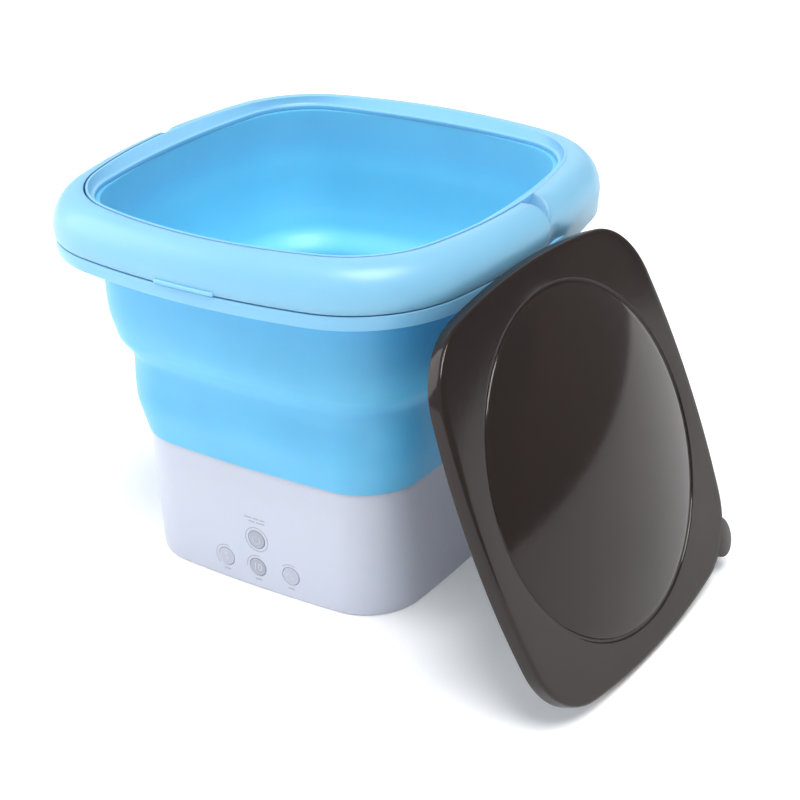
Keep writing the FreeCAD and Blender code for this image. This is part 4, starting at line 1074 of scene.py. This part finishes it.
def number(text, name, size, material):
    """A printed number on a key."""
    curve = bpy.data.curves.new(text, "FONT")
    curve.body = text
    curve.size = size
    curve.align_x = "CENTER"
    curve.align_y = "CENTER"
    curve.extrude = 0.1
    holder = bpy.data.objects.new(text, curve)
    bpy.context.scene.collection.objects.link(holder)
    mesh = bpy.data.meshes.new_from_object(holder.evaluated_get(bpy.context.evaluated_depsgraph_get()))
    bpy.data.objects.remove(holder)
    across, level = KEYS[name]
    turn = Matrix.Rotation(math.radians(90), 4, "X")
    mesh.transform(turn)
    mesh.transform(Matrix.Translation((across, -key_face(name) + 0.05, level)))
    bm = bmesh.new()
    bm.from_mesh(mesh)
    finished(f"number_{text}", bm, material, name)


def make_keys():
    """Key caps with soft edges, their symbols, the printed power ring and dashes, and grey arcs of painted
    shadow round the other keys.
    """
    pale_ink = print_ink("screen_print_pale", linear("CDD1DC"))
    # grey ink for the printed power ring and dashes, and for the arcs of painted shadow round the other
    # keys
    grey_ink_and_shade = print_ink("screen_print_grey_and_painted_shade", linear("A9ADBB"))
    for name, (across, level) in KEYS.items():
        shade = 0.92 if name in ("power_key", "ten_key") else 1.12
        # Moulded ABS sprayed silver grey under a thin clear lacquer: satin, with a faint sparkle.
        cap = moulded(
            f"printed_abs_{name}",
            shaded(linear("AFB2BF"), shade),
            shaded(linear("B7BAC6"), shade),
            patch=5.0,
            roughness=0.32,
            grain=0.35,
            depth=0.006,
            settings={"IOR": 1.54, "Coat Weight": 0.15},
        )
        face = key_face(name)
        bm = bmesh.new()
        for profile in (KEY_CAP, KEY_FLANGE):
            turned(bm, profile, Vector((across, -face, level)), (0, 1, 0), steps=72)
        piece = finished(f"{name}_cap", bm, cap, name)
        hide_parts(name)
    number("5", "five_key", 7.0, pale_ink)
    number("10", "ten_key", 7.0, pale_ink)

    def flat_at(name):
        return lambda across, level: key_face(name)

    bm = bmesh.new()
    across, level = KEYS["power_key"]
    arc_band(bm, (across, level - 0.3), 2.6, 0.45, 130, 410)
    stroke(bm, (across, level + 0.2), (across, level + 3.2), 0.45)
    inked("power_symbol", bm, flat_at("power_key"), pale_ink, "power_key")
    bm = bmesh.new()
    across, level = KEYS["mode_key"]
    arc_band(bm, (across - 1.0, level), 1.5, 0.4, 20, 200)
    arc_band(bm, (across + 1.0, level - 0.2), 1.5, 0.4, 200, 380)
    inked("mode_symbol", bm, flat_at("mode_key"), pale_ink, "mode_key")
    bm = bmesh.new()
    arc_band(bm, KEYS["power_key"], 8.3, 0.55, 0, 360)
    # painted shadow: grey arcs on the upper-left side of the other keys only, standing in for the shade of
    # a recess edge
    for name, (start, end) in KEY_SHADE_ARCS.items():
        arc_band(bm, KEYS[name], 8.0, 0.5, start, end)
    inked("printed_ring_and_painted_shade_arcs", bm, front_depth, grey_ink_and_shade, "base")
    bm = bmesh.new()
    for level, start, lengths in BROKEN_LINES:
        along = KEYS["power_key"][0] + start
        for length in lengths:
            stroke(bm, (along, level), (along + length, level), DASH_WIDTH)
            along += length + 1.0
    for name in KEY_SHADE_ARCS:
        across, level = KEYS[name]
        low = level - DASH_DROP
        stroke(bm, (across - 2.4, low), (across + 2.4, low), DASH_WIDTH)
    inked("printed_dashes", bm, front_depth, grey_ink_and_shade, "base")


# ---------------------------------------------------------------- inner pieces
def dress_inner_pieces():
    """Gives every CAD piece that stays the material of its record slot."""
    finishes = {**plain_plastics(), **plain_metals(), "board_laminate": circuit_laminate()}
    slots = {part["node"]: part["material_slot"] for part in frame["record"]["subparts"]}
    for name, thing in frame["nodes"].items():
        material = finishes.get(slots.get(name))
        if material:
            thing.data.materials.clear()
            thing.data.materials.append(material)


# ---------------------------------------------------------------- stage
CAMERA_AZIMUTH, CAMERA_ELEVATION, CAMERA_ROLL = (math.radians(a) for a in (33.2, 26.8, -1.5))
CAMERA_DISTANCE = 1.120
CAMERA_TARGET = Vector((0.0416, 0.0062, 0.0950))
SENSOR = 36.0
LENS = 80.8


def aim(thing, place, target):
    """Puts a lamp at a place and turns it to a target."""
    thing.location = place
    thing.rotation_euler = (Vector(target) - Vector(place)).to_track_quat("-Z", "Y").to_euler()


def make_stage():
    """Floor, soft studio light and the camera."""
    scene = bpy.context.scene
    bm = bmesh.new()
    bmesh.ops.create_grid(bm, x_segments=8, y_segments=8, size=9.0)
    bmesh.ops.translate(bm, verts=bm.verts, vec=(0, 0, -0.0003))
    mesh = bpy.data.meshes.new("floor")
    bm.to_mesh(mesh)
    bm.free()
    # Matt white backdrop paper, lit through from below so that it stays white and shadows stay soft.
    material, tree, place = blank_material("matt_white_paper")
    fibre = add(tree, "ShaderNodeTexNoise", {"Scale": 300.0, "Detail": 3.0}, {"Vector": place})
    bump = add(
        tree,
        "ShaderNodeBump",
        {"Strength": 0.1, "Distance": 0.2 * MM},
        {"Height": fibre.outputs["Fac"]},
    )
    shader = add(
        tree, "ShaderNodeBsdfPrincipled",
        {
            "Base Color": linear("FAFAFA"), "Roughness": 0.9, "Specular IOR Level": 0.1,
            "Emission Color": linear("FFFFFF"), "Emission Strength": 0.12,
        },
        {"Normal": bump.outputs["Normal"]},
    )
    add(tree, "ShaderNodeOutputMaterial", links={"Surface": shader.outputs["BSDF"]})
    mesh.materials.append(material)
    floor = bpy.data.objects.new("floor", mesh)
    scene.collection.objects.link(floor)
    world = bpy.data.worlds.new("studio")
    world.use_nodes = True
    tree = world.node_tree
    way = add(tree, "ShaderNodeTexCoord").outputs["Generated"]
    parts = add(tree, "ShaderNodeSeparateXYZ", links={"Vector": way})
    # the room is brighter on the left than on the right
    fall = add(
        tree,
        "ShaderNodeMapRange",
        {"From Min": -1.0, "From Max": 1.0, "To Min": 0.52, "To Max": 0.14},
        {"Value": parts.outputs["X"]},
    )
    tree.links.new(fall.outputs["Result"], tree.nodes["Background"].inputs["Strength"])
    tree.nodes["Background"].inputs["Color"].default_value = (1.0, 1.0, 1.0, 1.0)
    scene.world = world
    # area lights: name, place, width and power
    lights = (
        ("key_softbox", (-1.9, -0.8, 1.1), 1.6, 16.0),
        ("rear_softbox", (-0.6, 2.0, 1.2), 1.6, 3.0),
    )
    for name, place, width, power in lights:
        light = bpy.data.lights.new(name, "AREA")
        light.shape = "SQUARE"
        light.size = width
        light.energy = power
        lamp = bpy.data.objects.new(name, light)
        scene.collection.objects.link(lamp)
        aim(lamp, place, (0.03, 0.0, 0.12))
    high = bpy.data.lights.new("high_diffuser", "SUN")
    high.energy = 2.35
    high.angle = math.radians(35)
    lamp = bpy.data.objects.new("high_diffuser", high)
    scene.collection.objects.link(lamp)
    aim(lamp, (0.55, -0.4, 2.1), (0.0, 0.0, 0.15))
    lens = bpy.data.cameras.new("camera")
    lens.sensor_width = SENSOR
    lens.lens = LENS
    lens.clip_start = 0.01
    lens.clip_end = 50.0
    camera = bpy.data.objects.new("camera", lens)
    scene.collection.objects.link(camera)
    back = Vector(
        (
            math.sin(CAMERA_AZIMUTH) * math.cos(CAMERA_ELEVATION),
            -math.cos(CAMERA_AZIMUTH) * math.cos(CAMERA_ELEVATION),
            math.sin(CAMERA_ELEVATION),
        )
    )
    level = Vector((math.cos(CAMERA_AZIMUTH), math.sin(CAMERA_AZIMUTH), 0))
    upward = back.cross(level)
    right = level * math.cos(CAMERA_ROLL) + upward * math.sin(CAMERA_ROLL)
    turn = Matrix((right, back.cross(right), back)).transposed().to_4x4()
    turn.translation = CAMERA_TARGET + back * CAMERA_DISTANCE
    camera.matrix_world = turn
    scene.camera = camera
    scene.view_settings.view_transform = "Standard"
    scene.view_settings.look = "Medium High Contrast"


# ---------------------------------------------------------------- operators
class MINIWASHER_OT_base(bpy.types.Operator):
    """Build the base housing"""

    bl_idname = "miniwasher.base"
    bl_label = "Base housing"

    def execute(self, context):
        make_base(context.scene.washer_looks)
        return {"FINISHED"}


class MINIWASHER_OT_tub(bpy.types.Operator):
    """Build the soft folding tub"""

    bl_idname = "miniwasher.tub"
    bl_label = "Soft tub"

    def execute(self, context):
        make_tub(context.scene.washer_looks)
        return {"FINISHED"}


class MINIWASHER_OT_rim(bpy.types.Operator):
    """Build the rim that the lid sits in"""

    bl_idname = "miniwasher.rim"
    bl_label = "Rim"

    def execute(self, context):
        make_rim(context.scene.washer_looks)
        return {"FINISHED"}


class MINIWASHER_OT_handle(bpy.types.Operator):
    """Build the carrying handle"""

    bl_idname = "miniwasher.handle"
    bl_label = "Handle"

    def execute(self, context):
        make_handle(context.scene.washer_looks)
        return {"FINISHED"}


class MINIWASHER_OT_lid(bpy.types.Operator):
    """Build the leaning smoked lid"""

    bl_idname = "miniwasher.lid"
    bl_label = "Lid"

    def execute(self, context):
        make_lid(context.scene.washer_looks)
        return {"FINISHED"}


class MINIWASHER_OT_keys(bpy.types.Operator):
    """Build the keys and their printed marks"""

    bl_idname = "miniwasher.keys"
    bl_label = "Keys and print"

    def execute(self, context):
        make_keys()
        return {"FINISHED"}


class MINIWASHER_OT_inner(bpy.types.Operator):
    """Give the drive, the screws and the electrics their materials"""

    bl_idname = "miniwasher.inner"
    bl_label = "Inner pieces"

    def execute(self, context):
        dress_inner_pieces()
        return {"FINISHED"}


class MINIWASHER_OT_stage(bpy.types.Operator):
    """Set the floor, the lights and the camera"""

    bl_idname = "miniwasher.stage"
    bl_label = "Stage"

    def execute(self, context):
        make_stage()
        return {"FINISHED"}


BUILD_ORDER = (
    MINIWASHER_OT_base,
    MINIWASHER_OT_tub,
    MINIWASHER_OT_rim,
    MINIWASHER_OT_handle,
    MINIWASHER_OT_lid,
    MINIWASHER_OT_keys,
    MINIWASHER_OT_inner,
    MINIWASHER_OT_stage,
)


class MINIWASHER_PT_build(bpy.types.Panel):
    """Lists the operators and the looks that they use"""

    bl_idname = "MINIWASHER_PT_build"
    bl_label = "Mini washer"
    bl_space_type = "VIEW_3D"
    bl_region_type = "UI"
    bl_category = "Mini washer"

    def draw(self, context):
        looks = context.scene.washer_looks
        for name in ("rim_colour", "tub_colour", "tub_inside_painted_lighter", "base_colour", "lid_colour", "edge_radius"):
            self.layout.prop(looks, name)
        for operator in BUILD_ORDER:
            self.layout.operator(operator.bl_idname)


CLASSES = (WasherLooks, *BUILD_ORDER, MINIWASHER_PT_build)


def register():
    for item in CLASSES:
        bpy.utils.register_class(item)
    bpy.types.Scene.washer_looks = bpy.props.PointerProperty(type=WasherLooks)


def unregister():
    del bpy.types.Scene.washer_looks
    for item in reversed(CLASSES):
        bpy.utils.unregister_class(item)


def main():
    register()
    for operator in BUILD_ORDER:
        group, name = operator.bl_idname.split(".")
        if getattr(getattr(bpy.ops, group), name)() != {"FINISHED"}:
            raise RuntimeError(f"{operator.bl_label} was not finished")


if __name__ == "__main__":
    main()
